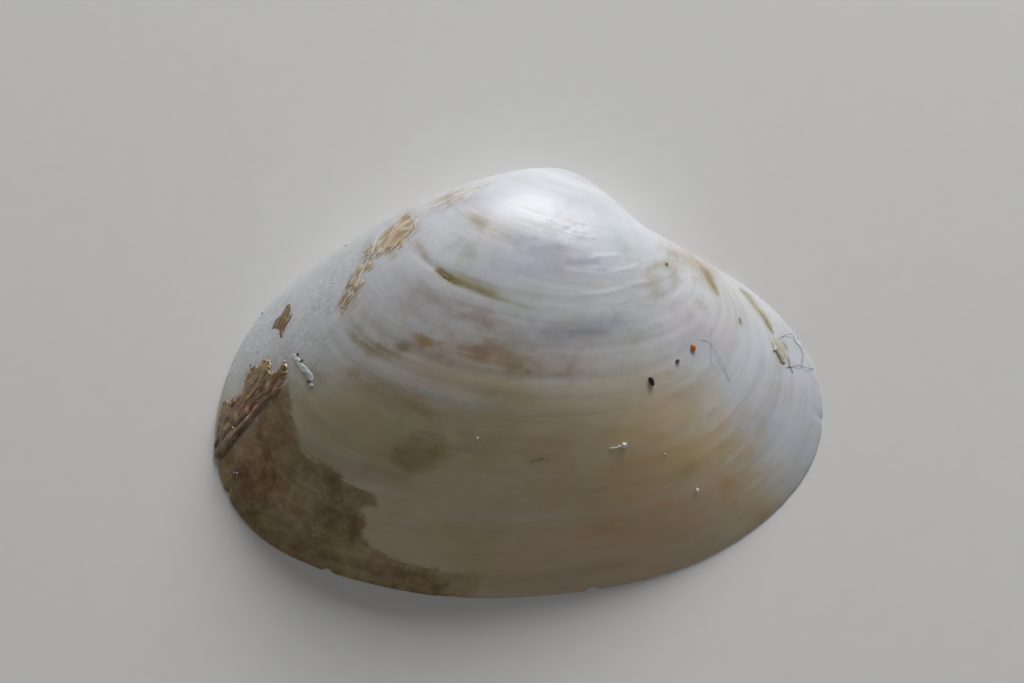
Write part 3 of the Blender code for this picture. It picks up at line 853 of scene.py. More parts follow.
def outer_material():
    t = Tree("shell_outside")
    where = t.position()
    age = t.attribute("age")
    slow = t.noise(where, 110.0, 2.0)
    medium = t.noise(where, 420.0, 4.0, 0.6, 0.3)
    grit = t.noise(where, 2600.0, 4.0, 0.65)
    wobble = t.add(age, t.mul(t.add(slow, -0.5), 0.020))
    x = t.node("ShaderNodeSeparateXYZ", {0: where}, output=0)
    y = t.node("ShaderNodeSeparateXYZ", {0: where}, output=1)

    def along_growth(rate, spread, detail=3.0, rough=0.6):
        """Noise drawn out along the growth lines."""
        return t.noise(t.combine(t.mul(wobble, rate), t.mul(x, spread), t.mul(y, spread * 0.6)), 1.0, detail, rough)

    broad = along_growth(15.0, 130.0)
    bands = along_growth(34.0, 90.0)
    fine = along_growth(150.0, 110.0, 2.0)
    streak = along_growth(110.0, 260.0)

    # white at the beak, pearly on the flanks, cream below: partly the shell's own colour, partly painted light, cool
    # where the key falls and warm where bounce light falls
    cool = t.colours(t.add(wobble, t.mul(t.add(medium, -0.5), 0.12)), [
        (0.00, rgb(226, 229, 233)), (0.28, rgb(224, 227, 231)), (0.40, rgb(213, 215, 219)), (0.55, rgb(209, 210, 213)),
        (0.75, rgb(213, 214, 215)), (1.00, rgb(219, 221, 224))])
    cream = t.colours(t.add(t.mul(slow, 0.5), t.mul(medium, 0.5)), [
        (0.30, rgb(207, 194, 165)), (0.50, rgb(212, 197, 168)), (0.70, rgb(217, 204, 178))])
    warm = t.attribute("warm")
    warm = t.ramp(t.add(warm, t.mul(t.add(broad, -0.5), 0.55)), 0.10, 0.92)
    base = t.mix(warm, cool, cream)
    # peach, yellow and green below and blue where the key falls: partly painted light
    base = t.tint(t.mul(t.attribute("peach"), 0.65), base, rgba(255, 234, 222))
    base = t.tint(t.mul(t.attribute("yellow"), 0.80), base, rgba(254, 240, 202))
    base = t.tint(t.mul(t.attribute("green"), 0.70), base, rgba(242, 246, 222))
    base = t.tint(t.mul(t.attribute("blue"), 0.85), base, rgba(240, 246, 255))

    # clouds and bands in the translucent shell
    base = t.tint(t.ramp(broad, 0.48, 0.74, 0.0, 0.60), base, rgba(228, 226, 230))
    base = t.tint(t.ramp(bands, 0.50, 0.78, 0.0, 0.50), base, rgba(233, 228, 222))
    base = t.mix(t.ramp(bands, 0.50, 0.26, 0.0, 0.22), base, rgba(230, 230, 230))
    base = t.tint(t.ramp(fine, 0.45, 0.80, 0.0, 0.30), base, rgba(236, 231, 224))
    base = t.tint(t.ramp(medium, 0.50, 0.72, 0.0, 0.45), base, rgba(234, 232, 240))
    base = t.tint(t.ramp(medium, 0.46, 0.28, 0.0, 0.45), base, rgba(244, 240, 224))
    hue = t.noise(where, 240.0, 3.0, 0.55, 0.3)
    base = t.tint(t.ramp(hue, 0.54, 0.70, 0.0, 0.5), base, rgba(255, 240, 234))
    base = t.tint(t.ramp(hue, 0.46, 0.30, 0.0, 0.5), base, rgba(238, 245, 232))
    lavender = t.attribute("lavender")
    lavender = t.math("MULTIPLY", lavender, t.ramp(t.add(t.mul(bands, 0.5), t.mul(medium, 0.5)), 0.34, 0.62, 0.45, 1.25), True)
    base = t.tint(lavender, base, rgba(214, 214, 223))
    # whitish: chalky bands, and painted highlights along ridge crests and on the beak
    chalk_and_sheen = t.attribute("chalk_and_sheen")
    chalk_and_sheen = t.math("MULTIPLY", chalk_and_sheen, t.ramp(t.add(t.mul(streak, 0.6), t.mul(grit, 0.4)), 0.35, 0.62, 0.35, 1.15), True)
    base = t.mix(t.mul(chalk_and_sheen, 0.52), base, rgba(229, 233, 238))
    grains = t.noise(where, 5200.0, 2.0, 0.5)
    granular = t.attribute("granular")
    rays = t.noise(t.combine(t.mul(t.attribute("share"), 210.0), t.mul(age, 16.0), 2.0), 1.0, 4.0, 0.65, 0.3)
    sparkle = t.math("MULTIPLY", granular, t.ramp(t.add(t.mul(grains, 0.6), t.mul(rays, 0.4)), 0.50, 0.64), True)
    base = t.mix(t.mul(sparkle, 0.55), base, rgba(244, 246, 248))
    base = t.tint(t.mul(granular, t.ramp(t.add(t.mul(grains, 0.4), t.mul(rays, 0.6)), 0.50, 0.34, 0.0, 0.55)), base, rgba(212, 216, 214))

    ragged = t.add(t.mul(t.add(grit, -0.5), 0.6), t.add(t.mul(t.add(streak, -0.5), 1.0), t.mul(t.add(medium, -0.5), 0.9)))

    def stain(colour, name, power, base):
        weight = t.attribute(name)
        weight = t.mul(weight, t.ramp(t.add(weight, ragged), -0.10, 0.62, 0.10, 1.35))
        return t.tint(t.math("MULTIPLY", weight, power, True), base, colour)

    base = stain(rgba(219, 198, 183), "pink", 1.0, base)
    base = stain(rgba(190, 176, 116), "olive", 1.0, base)
    base = stain(rgba(210, 178, 118), "tan", 1.0, base)

    # fibrous skin along the ridge behind the beak
    strip = t.attribute("strip")
    strands = t.noise(t.combine(t.mul(t.attribute("share"), 360.0), t.mul(age, 22.0), 5.0), 1.0, 4.0, 0.6, 0.2)
    threads = t.add(t.mul(t.add(strands, -0.5), 2.6), t.mul(t.add(medium, -0.5), 1.0))
    strip = t.math("MULTIPLY", strip, t.ramp(t.add(strip, threads), 0.15, 0.95, 0.0, 2.0), True)
    base = t.tint(strip, base, rgba(214, 188, 150))
    dark = t.math("MULTIPLY", t.attribute("strip"), t.ramp(strands, 0.56, 0.68), True)
    base = t.tint(t.mul(dark, 0.8), base, rgba(206, 178, 138))
    base = t.mix(t.mul(t.attribute("strip"), t.ramp(strands, 0.46, 0.34, 0.0, 0.5)), base, rgba(228, 224, 214))

    # the thin skin that is left on the hind part of the ventral side
    edge = t.add(t.attribute("film"), t.add(t.mul(t.add(streak, -0.5), 0.34), t.mul(t.add(grit, -0.5), 0.26)))
    film = t.ramp(edge, -0.05, 0.09)
    film_mottle = t.noise(where, 650.0, 5.0, 0.65, 0.5)
    film_patch = t.noise(where, 1500.0, 4.0, 0.6, 0.8)
    film_tone = t.add(t.mul(film_mottle, 0.50), t.add(t.mul(film_patch, 0.32), t.mul(streak, 0.18)))
    film_colour = t.colours(film_tone, [
        (0.34, rgb(106, 78, 46)), (0.44, rgb(132, 104, 66)), (0.52, rgb(150, 123, 81)), (0.60, rgb(167, 142, 97)), (0.70, rgb(192, 170, 127))])
    film_hue = t.noise(where, 380.0, 3.0, 0.5, 0.2)
    film_colour = t.tint(t.ramp(film_hue, 0.50, 0.64, 0.0, 1.0), film_colour, rgba(255, 222, 206))
    film_colour = t.tint(t.ramp(film_hue, 0.50, 0.36, 0.0, 1.0), film_colour, rgba(238, 238, 206))
    film_spot = t.noise(where, 1900.0, 3.0, 0.5, 0.3)
    film_colour = t.tint(t.ramp(film_spot, 0.56, 0.70, 0.0, 0.6), film_colour, rgba(255, 216, 208))
    film_colour = t.tint(t.ramp(film_spot, 0.42, 0.30, 0.0, 0.6), film_colour, rgba(214, 232, 190))
    rim = t.math("MULTIPLY", t.ramp(edge, 0.16, 0.02), film, True)
    film_colour = t.tint(t.mul(rim, 0.55), film_colour, rgba(206, 188, 160))
    cover = t.mul(film, t.ramp(film_tone, 0.40, 0.66, 0.97, 0.66))
    cover = t.mul(cover, t.ramp(t.attribute("film"), 0.0, 0.30, 0.80, 1.0))
    cover = t.mul(cover, t.ramp(t.attribute("thin"), 0.0, 1.0, 1.0, 0.0, False))
    base = t.mix(cover, base, film_colour)

    t.feed(t.shader.inputs["Base Color"], base)
    rough = t.add(t.ramp(medium, 0.3, 0.7, 0.34, 0.46, False), t.add(t.mul(film, 0.10), t.mul(chalk_and_sheen, 0.08)))
    t.feed(t.shader.inputs["Roughness"], rough)
    t.shader.inputs["IOR"].default_value = 1.50
    t.shader.inputs["Coat Weight"].default_value = 0.06
    t.shader.inputs["Coat Roughness"].default_value = 0.22
    t.shader.inputs["Subsurface Weight"].default_value = 0.25
    t.shader.inputs["Subsurface Radius"].default_value = (1.0, 0.82, 0.64)
    t.shader.inputs["Subsurface Scale"].default_value = 0.0009

    lines = along_growth(230.0, 330.0)
    height = t.add(t.mul(lines, 0.26), t.add(t.mul(grit, 0.30), t.mul(medium, 0.8)))
    height = t.add(height, t.mul(film, t.add(t.mul(film_patch, 1.0), t.mul(streak, 0.8))))
    height = t.add(height, t.mul(t.mul(chalk_and_sheen, grit), 0.8))
    height = t.add(height, t.mul(granular, t.add(t.mul(grains, 1.1), t.mul(rays, 1.3))))
    height = t.add(height, t.mul(t.attribute("strip"), t.mul(strands, 2.6)))
    t.feed(t.shader.inputs["Normal"], t.bump(height, 0.28, 0.00004))
    return t.material


def inner_material():
    t = Tree("shell_inside")
    where = t.position()
    age = t.attribute("age")
    scar, pallial = t.attribute("scar"), t.attribute("pallial")
    cloud = t.noise(where, 180.0, 4.0, 0.6, 0.4)
    base = t.colours(t.add(age, t.mul(t.add(cloud, -0.5), 0.35)), [
        (0.15, rgb(232, 224, 208)), (0.55, rgb(236, 232, 224)), (0.85, rgb(234, 233, 232)), (1.00, rgb(222, 217, 205))])
    fine = t.noise(where, 1400.0, 3.0, 0.6)
    base = t.tint(t.ramp(fine, 0.4, 0.7, 0.0, 0.35), base, rgba(236, 228, 216))
    base = t.tint(t.ramp(cloud, 0.52, 0.70, 0.0, 0.4), base, rgba(228, 226, 234))
    base = t.mix(t.mul(scar, 0.55), base, rgba(212, 206, 196))
    base = t.mix(t.mul(pallial, 0.40), base, rgba(212, 204, 190))
    t.feed(t.shader.inputs["Base Color"], base)
    t.feed(t.shader.inputs["Roughness"], t.ramp(cloud, 0.3, 0.7, 0.20, 0.30, False))
    t.shader.inputs["Coat Weight"].default_value = 0.15
    t.shader.inputs["Coat Roughness"].default_value = 0.12
    t.shader.inputs["Subsurface Weight"].default_value = 0.2
    t.shader.inputs["Subsurface Radius"].default_value = (1.0, 0.85, 0.7)
    t.shader.inputs["Subsurface Scale"].default_value = 0.0008
    rays = t.noise(where, 2200.0, 3.0, 0.6)
    t.feed(t.shader.inputs["Normal"], t.bump(rays, 0.15, 0.00004))
    return t.material


def skin_material(name, stops, gloss, seed, reds=0.7, greens=0.6, coat=0.5, bumps=0.6):
    """Horny outer skin, made of fibres that run along its folds."""
    t = Tree(name)
    where = t.node("ShaderNodeMapping", {"Vector": t.position(), "Location": (seed, 0.0, 0.0)})
    fold, edge = t.attribute("fold"), t.attribute("edge")
    fibres = t.noise(t.combine(t.mul(t.attribute("across"), 0.62), t.mul(t.attribute("along"), 0.085), seed), 1.0, 4.0, 0.65, 0.15)
    patch = t.noise(where, 900.0, 4.0, 0.6, 0.4)
    grain = t.noise(where, 4200.0, 3.0, 0.6)
    # the fold value sets the tone: on the skin patch it carries painted shade in the creases, painted light on the
    # crests, a painted shadow under the rolled edge and painted highlights on it
    tone = t.add(t.mul(fold, 0.50), t.add(t.mul(fibres, 0.52), t.add(t.mul(patch, 0.16), t.mul(grain, 0.12))))
    base = t.colours(tone, [(at, rgb(*colour)) for at, colour in stops])
    hue = t.noise(where, 620.0, 3.0, 0.5)
    base = t.tint(t.ramp(hue, 0.52, 0.66, 0.0, reds), base, rgba(255, 214, 196))
    base = t.tint(t.ramp(hue, 0.48, 0.34, 0.0, greens), base, rgba(228, 234, 190))
    base = t.mix(t.ramp(edge, 0.07, 0.0, 0.0, 0.35), base, rgba(*stops[-1][1]))
    t.feed(t.shader.inputs["Base Color"], base)
    t.feed(t.shader.inputs["Roughness"], t.ramp(t.add(t.mul(grain, 0.5), t.mul(patch, 0.5)), 0.35, 0.65, gloss, gloss + 0.25, False))
    t.shader.inputs["IOR"].default_value = 1.54
    t.shader.inputs["Coat Weight"].default_value = coat
    t.shader.inputs["Coat Roughness"].default_value = 0.10
    height = t.add(t.mul(grain, 0.3), t.add(t.mul(patch, 0.3), t.mul(fibres, 1.2)))
    t.feed(t.shader.inputs["Normal"], t.bump(height, bumps, 0.00006))
    return t.material


def stain_material():
    """Brown and olive dirt in the grooves, fading into the shell's colour."""
    t = Tree("groove_stain")
    where = t.position()
    patch = t.noise(where, 2600.0, 4.0, 0.65, 0.4)
    tone = t.add(t.mul(t.attribute("fold"), 0.8), t.mul(patch, 0.4))
    deep = t.colours(tone, [(0.30, rgb(92, 72, 36)), (0.50, rgb(118, 98, 56)), (0.75, rgb(142, 126, 86)), (1.00, rgb(164, 152, 116))])
    core = t.ramp(t.add(t.attribute("edge"), t.mul(t.add(patch, -0.5), 0.05)), 0.0, 0.035)
    t.feed(t.shader.inputs["Base Color"], t.mix(core, rgba(168, 157, 120), deep))
    t.feed(t.shader.inputs["Roughness"], t.ramp(patch, 0.3, 0.7, 0.36, 0.50, False))
    t.shader.inputs["Subsurface Weight"].default_value = 0.2
    t.shader.inputs["Subsurface Scale"].default_value = 0.0005
    t.feed(t.shader.inputs["Normal"], t.bump(patch, 0.25, 0.00003))
    return t.material


def grain_material(name, dark, light, roughness, see_in=0.0):
    t = Tree(name)
    where = t.position()
    cloud = t.noise(where, 5000.0, 4.0, 0.65, 0.5)
    t.feed(t.shader.inputs["Base Color"], t.colours(cloud, [(0.34, rgb(*dark)), (0.66, rgb(*light))]))
    t.shader.inputs["Roughness"].default_value = roughness
    t.shader.inputs["Subsurface Weight"].default_value = see_in
    t.shader.inputs["Subsurface Scale"].default_value = 0.0002
    t.feed(t.shader.inputs["Normal"], t.bump(cloud, 0.6, 0.00003))
    return t.material


valve.data.materials.append(outer_material())
valve.data.materials.append(inner_material())
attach(valve, "root")
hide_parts("right_valve")

# ------------------------------------------------------------ skin on the shell
outer_faces = [tuple(f) for f in faces if all(side_at[i] < 0.5 for i in f)]
tree = BVHTree.FromPolygons([Vector(v) for v in verts], outer_faces)
eye_at = Vector(EYE)


def on_surface(x, y):
    """Points and outward directions on the shell under points of the plan."""
    at, out, hit = np.zeros((len(x), 3)), np.zeros((len(x), 3)), np.ones(len(x), bool)
    for i in range(len(x)):
        loc, normal, index, _ = tree.ray_cast(eye_at, Vector(plan_ray(x[i], y[i])))
        if loc is None:
            hit[i] = False
            continue
        at[i] = loc
        ids = list(outer_faces[index])
        w = 1.0 / (np.linalg.norm(verts[ids] - at[i], axis=1) + 1e-6)
        n = (vertex_normals[ids] * w[:, None]).sum(axis=0)
        out[i] = n / np.linalg.norm(n)
    return at, out, hit


def tidy(keep, least=30):
    """Cells of a mask with no two meeting only at a corner, and no small
    groups of them."""
    keep = keep.copy()
    for _ in range(40):
        a, b, c, d = keep[:-1, :-1], keep[:-1, 1:], keep[1:, :-1], keep[1:, 1:]
        falling = a & d & ~b & ~c
        rising = b & c & ~a & ~d
        if not falling.any() and not rising.any():
            break
        keep[1:, 1:] &= ~falling
        keep[1:, :-1] &= ~rising
    todo = keep.copy()
    for i, j in np.argwhere(keep):
        if not todo[i, j]:
            continue
        group, queue = [], [(int(i), int(j))]
        todo[i, j] = False
        while queue:
            r, c = queue.pop()
            group.append((r, c))
            for m, n in ((r + 1, c), (r - 1, c), (r, c + 1), (r, c - 1)):
                if 0 <= m < keep.shape[0] and 0 <= n < keep.shape[1] and todo[m, n]:
                    todo[m, n] = False
                    queue.append((m, n))
        if len(group) < least:
            for r, c in group:
                keep[r, c] = False
    return keep


def flake(name, distance, lift, box, step, material, embed=0.03):
    """A thin piece of skin on the shell. distance(x, y) is positive inside its
    outline on the plan; lift(x, y, d) is the height of its upper face in
    millimetres, how far up its folds each point is, 0 to 1, which sets its
    colour (on the skin patch with painted shade and highlights added), and the
    distances across and along its fibres."""
    xs, ys = np.arange(box[0], box[2], step), np.arange(box[1], box[3], step)
    gx, gy = np.meshgrid(xs, ys)
    d = distance(gx, gy)
    dy, dx = np.gradient(d, step)
    steep = np.maximum(dx * dx + dy * dy, 0.2)
    out = d < 0.0
    shift = np.clip(-d, 0.0, 1.3 * step) / steep
    mx, my = np.where(out, gx + dx * shift, gx), np.where(out, gy + dy * shift, gy)
    low = np.minimum(np.minimum(d[:-1, :-1], d[1:, :-1]), np.minimum(d[:-1, 1:], d[1:, 1:]))
    high = np.maximum(np.maximum(d[:-1, :-1], d[1:, :-1]), np.maximum(d[:-1, 1:], d[1:, 1:]))
    keep = tidy((high > 0.25 * step) & (low > -1.25 * step))
    rows, cols = np.nonzero(keep)
    width = len(xs)
    quads = np.stack([rows * width + cols, rows * width + cols + 1, (rows + 1) * width + cols + 1, (rows + 1) * width + cols], axis=1)
    used, quads = np.unique(quads, return_inverse=True)
    quads = quads.reshape(-1, 4)
    fx, fy, fd = mx.ravel()[used], my.ravel()[used], np.maximum(d.ravel()[used], 0.0)
    at, normal, hit = on_surface(fx, fy)
    good = hit[quads].all(axis=1)
    quads = quads[good]
    height, fold, across, along = lift(fx, fy, fd)
    n = len(fx)
    points = np.concatenate([at + normal * height[:, None], at - normal * embed])
    count = {}
    for q4 in quads:
        for k in range(4):
            a, b = int(q4[k]), int(q4[(k + 1) % 4])
            key = (min(a, b), max(a, b))
            count[key] = (count.get(key, (0, a, b))[0] + 1, a, b)
    sides = [(b, a, a + n, b + n) for c, a, b in count.values() if c == 1]
    all_faces = [tuple(q4) for q4 in quads] + [tuple(int(v) + n for v in q4[::-1]) for q4 in quads] + sides
    live = sorted({int(v) for f4 in all_faces for v in f4})
    index = {v: i for i, v in enumerate(live)}
    obj = make_object(name, points[live], [[index[int(v)] for v in f4] for f4 in all_faces])
    both = np.concatenate([fold, fold])[live]
    rim = np.concatenate([fd, fd])[live]
    put(obj, "fold", both)
    put(obj, "across", np.concatenate([across, across])[live])
    put(obj, "along", np.concatenate([along, along])[live])
    put(obj, "edge", np.clip(rim / 20.0, 0.0, 1.0))
    obj.data.materials.append(material)
    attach(obj, "root")
    return obj


skin_line = [
    (213.4, 451), (214.3, 445), (216.4, 434), (217.2, 425), (219.0, 418.6), (219.4, 412), (221, 406), (221.6, 401.6), (224.6, 399.4),
    (226.8, 401.6), (228.1, 407), (230.4, 402.5), (233, 399.8), (235.7, 398), (238.4, 394.5), (241.5, 392.6), (243.0, 388.2),
    (245.0, 383.8), (245.4, 378), (246.4, 373.9), (250, 368.6), (253.6, 366.8), (255.8, 366.8), (258, 370.5), (260.7, 364.1),
    (264.3, 359.6), (267.4, 357.4), (270.1, 361.4), (271.4, 365.9), (270.9, 371.0), (274, 372.6), (277.7, 372.0), (279.9, 367.7),
    (283, 363.7), (286.2, 363.7), (288.4, 367.7), (286.2, 373.9), (284.4, 379.3), (282.4, 384.0), (280.6, 390), (275.2, 396.4),
    (268.9, 400.9), (264.3, 406), (258.9, 414.1), (252.7, 422.1), (246.4, 430.2), (239.3, 436.4), (234.8, 440.9), (231.3, 446.3),
    (225, 454.3), (219.6, 459.6), (216, 457)]
roll_side = [(190, 470), (217, 462), (232, 449), (248, 430), (262, 410), (276, 398), (288, 384), (300, 340), (190, 340)]
roll_line = [(215.5, 456.5), (220, 451), (226, 444.5), (233, 436), (240, 429.5), (247, 421.5), (254, 412.5), (261, 403.5), (268, 397)]


FAN = (205.0, 478.0)


def fan(x, y):
    """Distances across and along folds that gather at the lower tip."""
    ray = np.hypot(x - FAN[0], y - FAN[1])
    angle = np.arctan2(FAN[1] - y, x - FAN[0]) + 0.044 * noise2(x / 26.0, y / 26.0, 111) + 0.014 * noise2(x / 8.0, y / 8.0, 110)
    return angle, ray


def skin_shape(x, y):
    angle, ray = fan(x, y)
    fray = 1.6 * noise2(angle * 30.0, ray / 40.0, 101) + 1.5 * noise2(angle * 68.0, ray / 22.0, 102)
    jag = 0.7 * noise2(x / 1.6, y / 1.6, 103) + fray * smoothstep(inside(x, y, roll_side), -14.0, 4.0)
    return inside(x, y, skin_line) + jag


def skin_lift(x, y, d):
    """Thin layers of fibres with sharp folds, and a rolled lower edge.
    The colour value is painted light: lighter up on the folds and darker in
    the creases, a painted shadow beside and under the rolled edge, and painted
    highlights along its top and on two facets above it.
    """
    angle, ray = fan(x, y)

    def ridge(rate, stretch, seed):
        return 1.0 - 2.0 * np.abs(noise2(angle * rate, ray / stretch, seed))

    main, second, fine = ridge(11.0, 34.0, 112), ridge(30.0, 20.0, 113), ridge(84.0, 12.0, 114)
    cross = noise2(angle * 14.0, ray / 4.5, 115)
    steps = smoothstep(noise2(angle * 9.0, ray / 16.0, 116), -0.1, 0.1)
    edge = smoothstep(d, 0.0, 1.6)
    broken = noise2(angle * 22.0, ray / 7.0, 118)
    height = 0.020 + edge * (0.020 + 0.030 * np.clip(main, 0.0, 1.0) ** 1.6 + 0.010 * np.clip(second, -0.2, 1.0)
                             + 0.010 * fine + 0.012 * cross + 0.040 * steps + 0.016 * broken)
    roll, along = line_distance(x, y, roll_line)
    girth = 3.7 - 1.9 * smoothstep(along, 0.35, 1.0) + 0.7 * noise2(along * 6.0, 0.5, 119)
    pinch = 0.80 + 0.40 * noise2(along * 8.0, 0.5, 117)
    rolled = np.sqrt(np.maximum(0.0, 1.0 - (roll / girth) ** 2)) * (1.0 - 0.55 * smoothstep(along, 0.5, 1.0)) * pinch
    height = height * (1.0 - 0.5 * (roll < girth)) + 0.13 * rolled
    height = height - 0.045 * np.exp(-((roll - girth - 1.4) / 1.3) ** 2) * (d > 4.0)
    # colour value: painted shade in the creases and painted light on the fold crests, darker towards the left edge
    up = 0.27 + 0.16 * main + 0.12 * second + 0.14 * fine + 0.12 * cross + 0.08 * steps + 0.14 * broken - 0.10 * smoothstep(228.0 - x, 0.0, 12.0)
    # painted shadow just beside the rolled edge, painted highlight along its top
    up = up - 0.40 * np.exp(-((roll - girth - 0.8) / 1.8) ** 2) + 0.28 * np.exp(-((roll - 0.4) / 1.6) ** 2) * smoothstep(along, 0.28, 0.42)
    # painted shadow in the pocket under the curled lip
    up = up - 0.35 * np.exp(-(((x - 238.0) / 5.0) ** 2 + ((y - 432.5) / 3.6) ** 2))
    # painted highlights on two facets above the rolled edge
    up = up + 0.75 * np.exp(-(((x - 248.5) / 2.0) ** 2 + ((y - 413.0) / 7.0) ** 2)) + 0.35 * np.exp(-(((x - 236.0) / 2.6) ** 2 + ((y - 420.0) / 8.0) ** 2))
    return np.maximum(height, 0.012), np.clip(up, 0.0, 1.0), angle * 90.0, ray


ridge_line = [(506, 177), (478, 186), (450, 197.5), (422, 211), (402, 226), (386, 244), (372, 262), (358, 284), (346, 306), (338, 322)]
strip_pieces = [
    [(414, 212.5), (405, 215), (398, 219), (390, 224), (384, 230), (379, 236), (376, 243), (375, 250), (377, 257), (383, 256), (389, 252),
     (395, 250.5), (401, 246), (406, 241), (411, 236), (414.3, 230.5), (415, 222), (414, 216)],
    [(371.5, 240.5), (367, 245), (364, 250), (365.5, 257), (369.4, 255.5), (372.4, 249), (374, 243)],
    [(357, 266.5), (362, 264.5), (368.6, 262), (370, 257), (373, 258), (370, 268), (365, 272), (361, 277.5), (362.8, 281), (361.2, 285.4),
     (354, 289.7), (350, 290.5), (346.4, 286), (348, 277), (353, 277.5), (357.5, 272)],
    [(352, 292), (356, 294), (351.5, 301), (345.5, 306), (341.5, 312.6), (341.8, 303), (346, 297.5)],
]


def strands(x, y, seed, fine=1.7, stretch=15.0):
    off, along = line_offset(x, y, ridge_line)
    return noise2(off / fine + 0.5 * noise2(x / 7.0, y / 7.0, seed + 1), along / stretch, seed), off, along


def strip_shape(x, y):
    fray, off, along = strands(x, y, 121)
    gaps, _, _ = strands(x, y, 124, 1.1, 9.0)
    torn = noise2(x / 9.0, y / 9.0, 127)
    best = None
    for piece in strip_pieces:
        d = inside(x, y, piece)
        best = d if best is None else np.maximum(best, d)
    d = best + 4.0 * fray - 0.7 + 1.2 * smoothstep(y, 258.0, 268.0)
    d = np.minimum(d, 1.1 + 1.0 * smoothstep(y, 258.0, 268.0) + 3.9 * gaps + 0.22 * np.maximum(best, 0.0) + 0.9 * torn)
    bare, _ = line_distance(x, y, [(391, 224), (383, 231), (376, 239), (372.7, 247), (368.4, 258), (363, 270), (356, 284)])
    return np.minimum(d, bare - 0.8 + 0.6 * noise2(x / 3.0, y / 3.0, 123))


def strip_lift(x, y, d):
    rib, off, along = strands(x, y, 131, 1.5, 18.0)
    fine, _, _ = strands(x, y, 134, 0.75, 10.0)
    crest = 1.0 - 2.0 * np.abs(rib)
    height = 0.006 + smoothstep(d, 0.0, 1.2) * (0.006 + 0.018 * np.clip(crest, 0.0, 1.0) + 0.005 * fine)
    return height, np.clip(0.44 + 0.30 * crest + 0.28 * fine + 0.16 * noise2(x / 6.0, y / 6.0, 137), 0.0, 1.0), off, along


thread_lines = [
    [(392, 222.6), (383.6, 230), (376, 238.4), (372.7, 247), (368.6, 258), (361.6, 272.5), (354.4, 288), (347.6, 298.4)],
    [(417.6, 214.6), (415.6, 222), (415.2, 229), (410, 238), (402, 247.6)],
    [(474, 188.6), (460, 194.6), (446, 200.4), (431, 207.4), (420, 214)],
    [(498, 180.4), (482, 185.8), (466, 190.6), (450, 196.4)],
    [(462, 195.6), (446, 203.8), (430, 212.8), (420, 219)],
    [(378.6, 236), (374, 245.6), (371, 254)], [(366, 262), (360, 274), (352, 286), (346.4, 294.6)],
    [(358, 292), (352, 301), (346, 311), (342.4, 322)], [(405, 217), (396, 226), (388, 236), (381, 247)],
    [(488, 183.6), (470, 191.0), (454, 198)], [(440, 204), (428, 209), (417, 216)],
]


def thread_shape(x, y):
    best = np.full(np.shape(x), -1e9)
    for k, line in enumerate(thread_lines):
        d, along = line_distance(x, y, line)
        wide = 0.62 * np.sqrt(np.maximum(0.0, 1.0 - (2.0 * along - 1.0) ** 4)) * (0.8 + 0.5 * noise2(along * 5.0, k * 3.0, 136))
        wander = 0.5 * noise2(x / 6.0, y / 6.0, 139 + k)
        best = np.maximum(best, wide + wander * 0.3 - np.abs(d - 0.25 * wander) - (0.0 if k < 4 else 0.15))
    return best


def thread_lift(x, y, d):
    off, along = line_offset(x, y, ridge_line)
    return 0.003 + 0.009 * smoothstep(d, 0.0, 0.8), np.clip(0.45 + 0.45 * noise2(x / 1.6, y / 4.0, 138), 0.0, 1.0), off, along


spot_line = [(289.6, 304.7), (292.4, 309.7), (291, 316.9), (287.4, 322.6), (286.7, 329.8), (282.4, 336.6), (280, 336.4), (278.1, 329.8),
             (273.1, 328.4), (275.2, 319.8), (280.4, 313.6), (284.3, 309.9)]


def spot_fibres(x, y):
    return 0.88 * x + 0.47 * y + 0.8 * noise2(x / 8.0, y / 8.0, 140), -0.47 * x + 0.88 * y


def spot_shape(x, y):
    u, v = spot_fibres(x, y)
    return inside(x, y, spot_line) + 2.2 * noise2(u / 1.7, v / 12.0, 141) + 0.4 * noise2(x / 0.8, y / 0.8, 142) - 0.2


def spot_lift(x, y, d):
    u, v = spot_fibres(x, y)
    ribs = 1.0 - 2.0 * np.abs(noise2(u / 2.2, v / 14.0, 143))
    fine = noise2(u / 0.9, v / 9.0, 144)
    height = 0.012 + smoothstep(d, 0.0, 1.4) * (0.014 + 0.026 * np.clip(ribs, 0.0, 1.0) + 0.008 * fine)
    return height, np.clip(0.34 + 0.34 * ribs + 0.16 * fine, 0.0, 1.0), u, v


flap_line = [(770.5, 331), (777, 336), (782.6, 341), (786.4, 348), (787.6, 356), (785.6, 364), (781, 361), (776.4, 354), (773, 346)]


def flap_fibres(x, y):
    return 0.90 * x - 0.43 * y + 1.0 * noise2(x / 9.0, y / 9.0, 150), 0.43 * x + 0.90 * y


def flap_shape(x, y):
    u, v = flap_fibres(x, y)
    d = inside(x, y, flap_line) + 1.9 * noise2(u / 1.5, v / 13.0, 151) + 0.4 * noise2(x / 0.7, y / 1.1, 152) - 0.5
    return np.minimum(d, 1.0 + 3.2 * noise2(u / 1.3, v / 10.0, 154) + 0.5 * np.maximum(782.0 - x, 0.0))


def flap_lift(x, y, d):
    u, v = flap_fibres(x, y)
    ribs = noise2(u / 1.4, v / 14.0, 153)
    dark = np.exp(-(line_distance(x, y, [(775.6, 350), (779, 356), (782.6, 363)])[0] / 2.7) ** 2)
    high = 0.006 + smoothstep(d, 0.0, 1.4) * (0.008 + 0.008 * ribs) + 0.05 * dark
    return high, np.clip(0.70 + 0.28 * ribs - 0.90 * dark, 0.0, 1.0), u, v


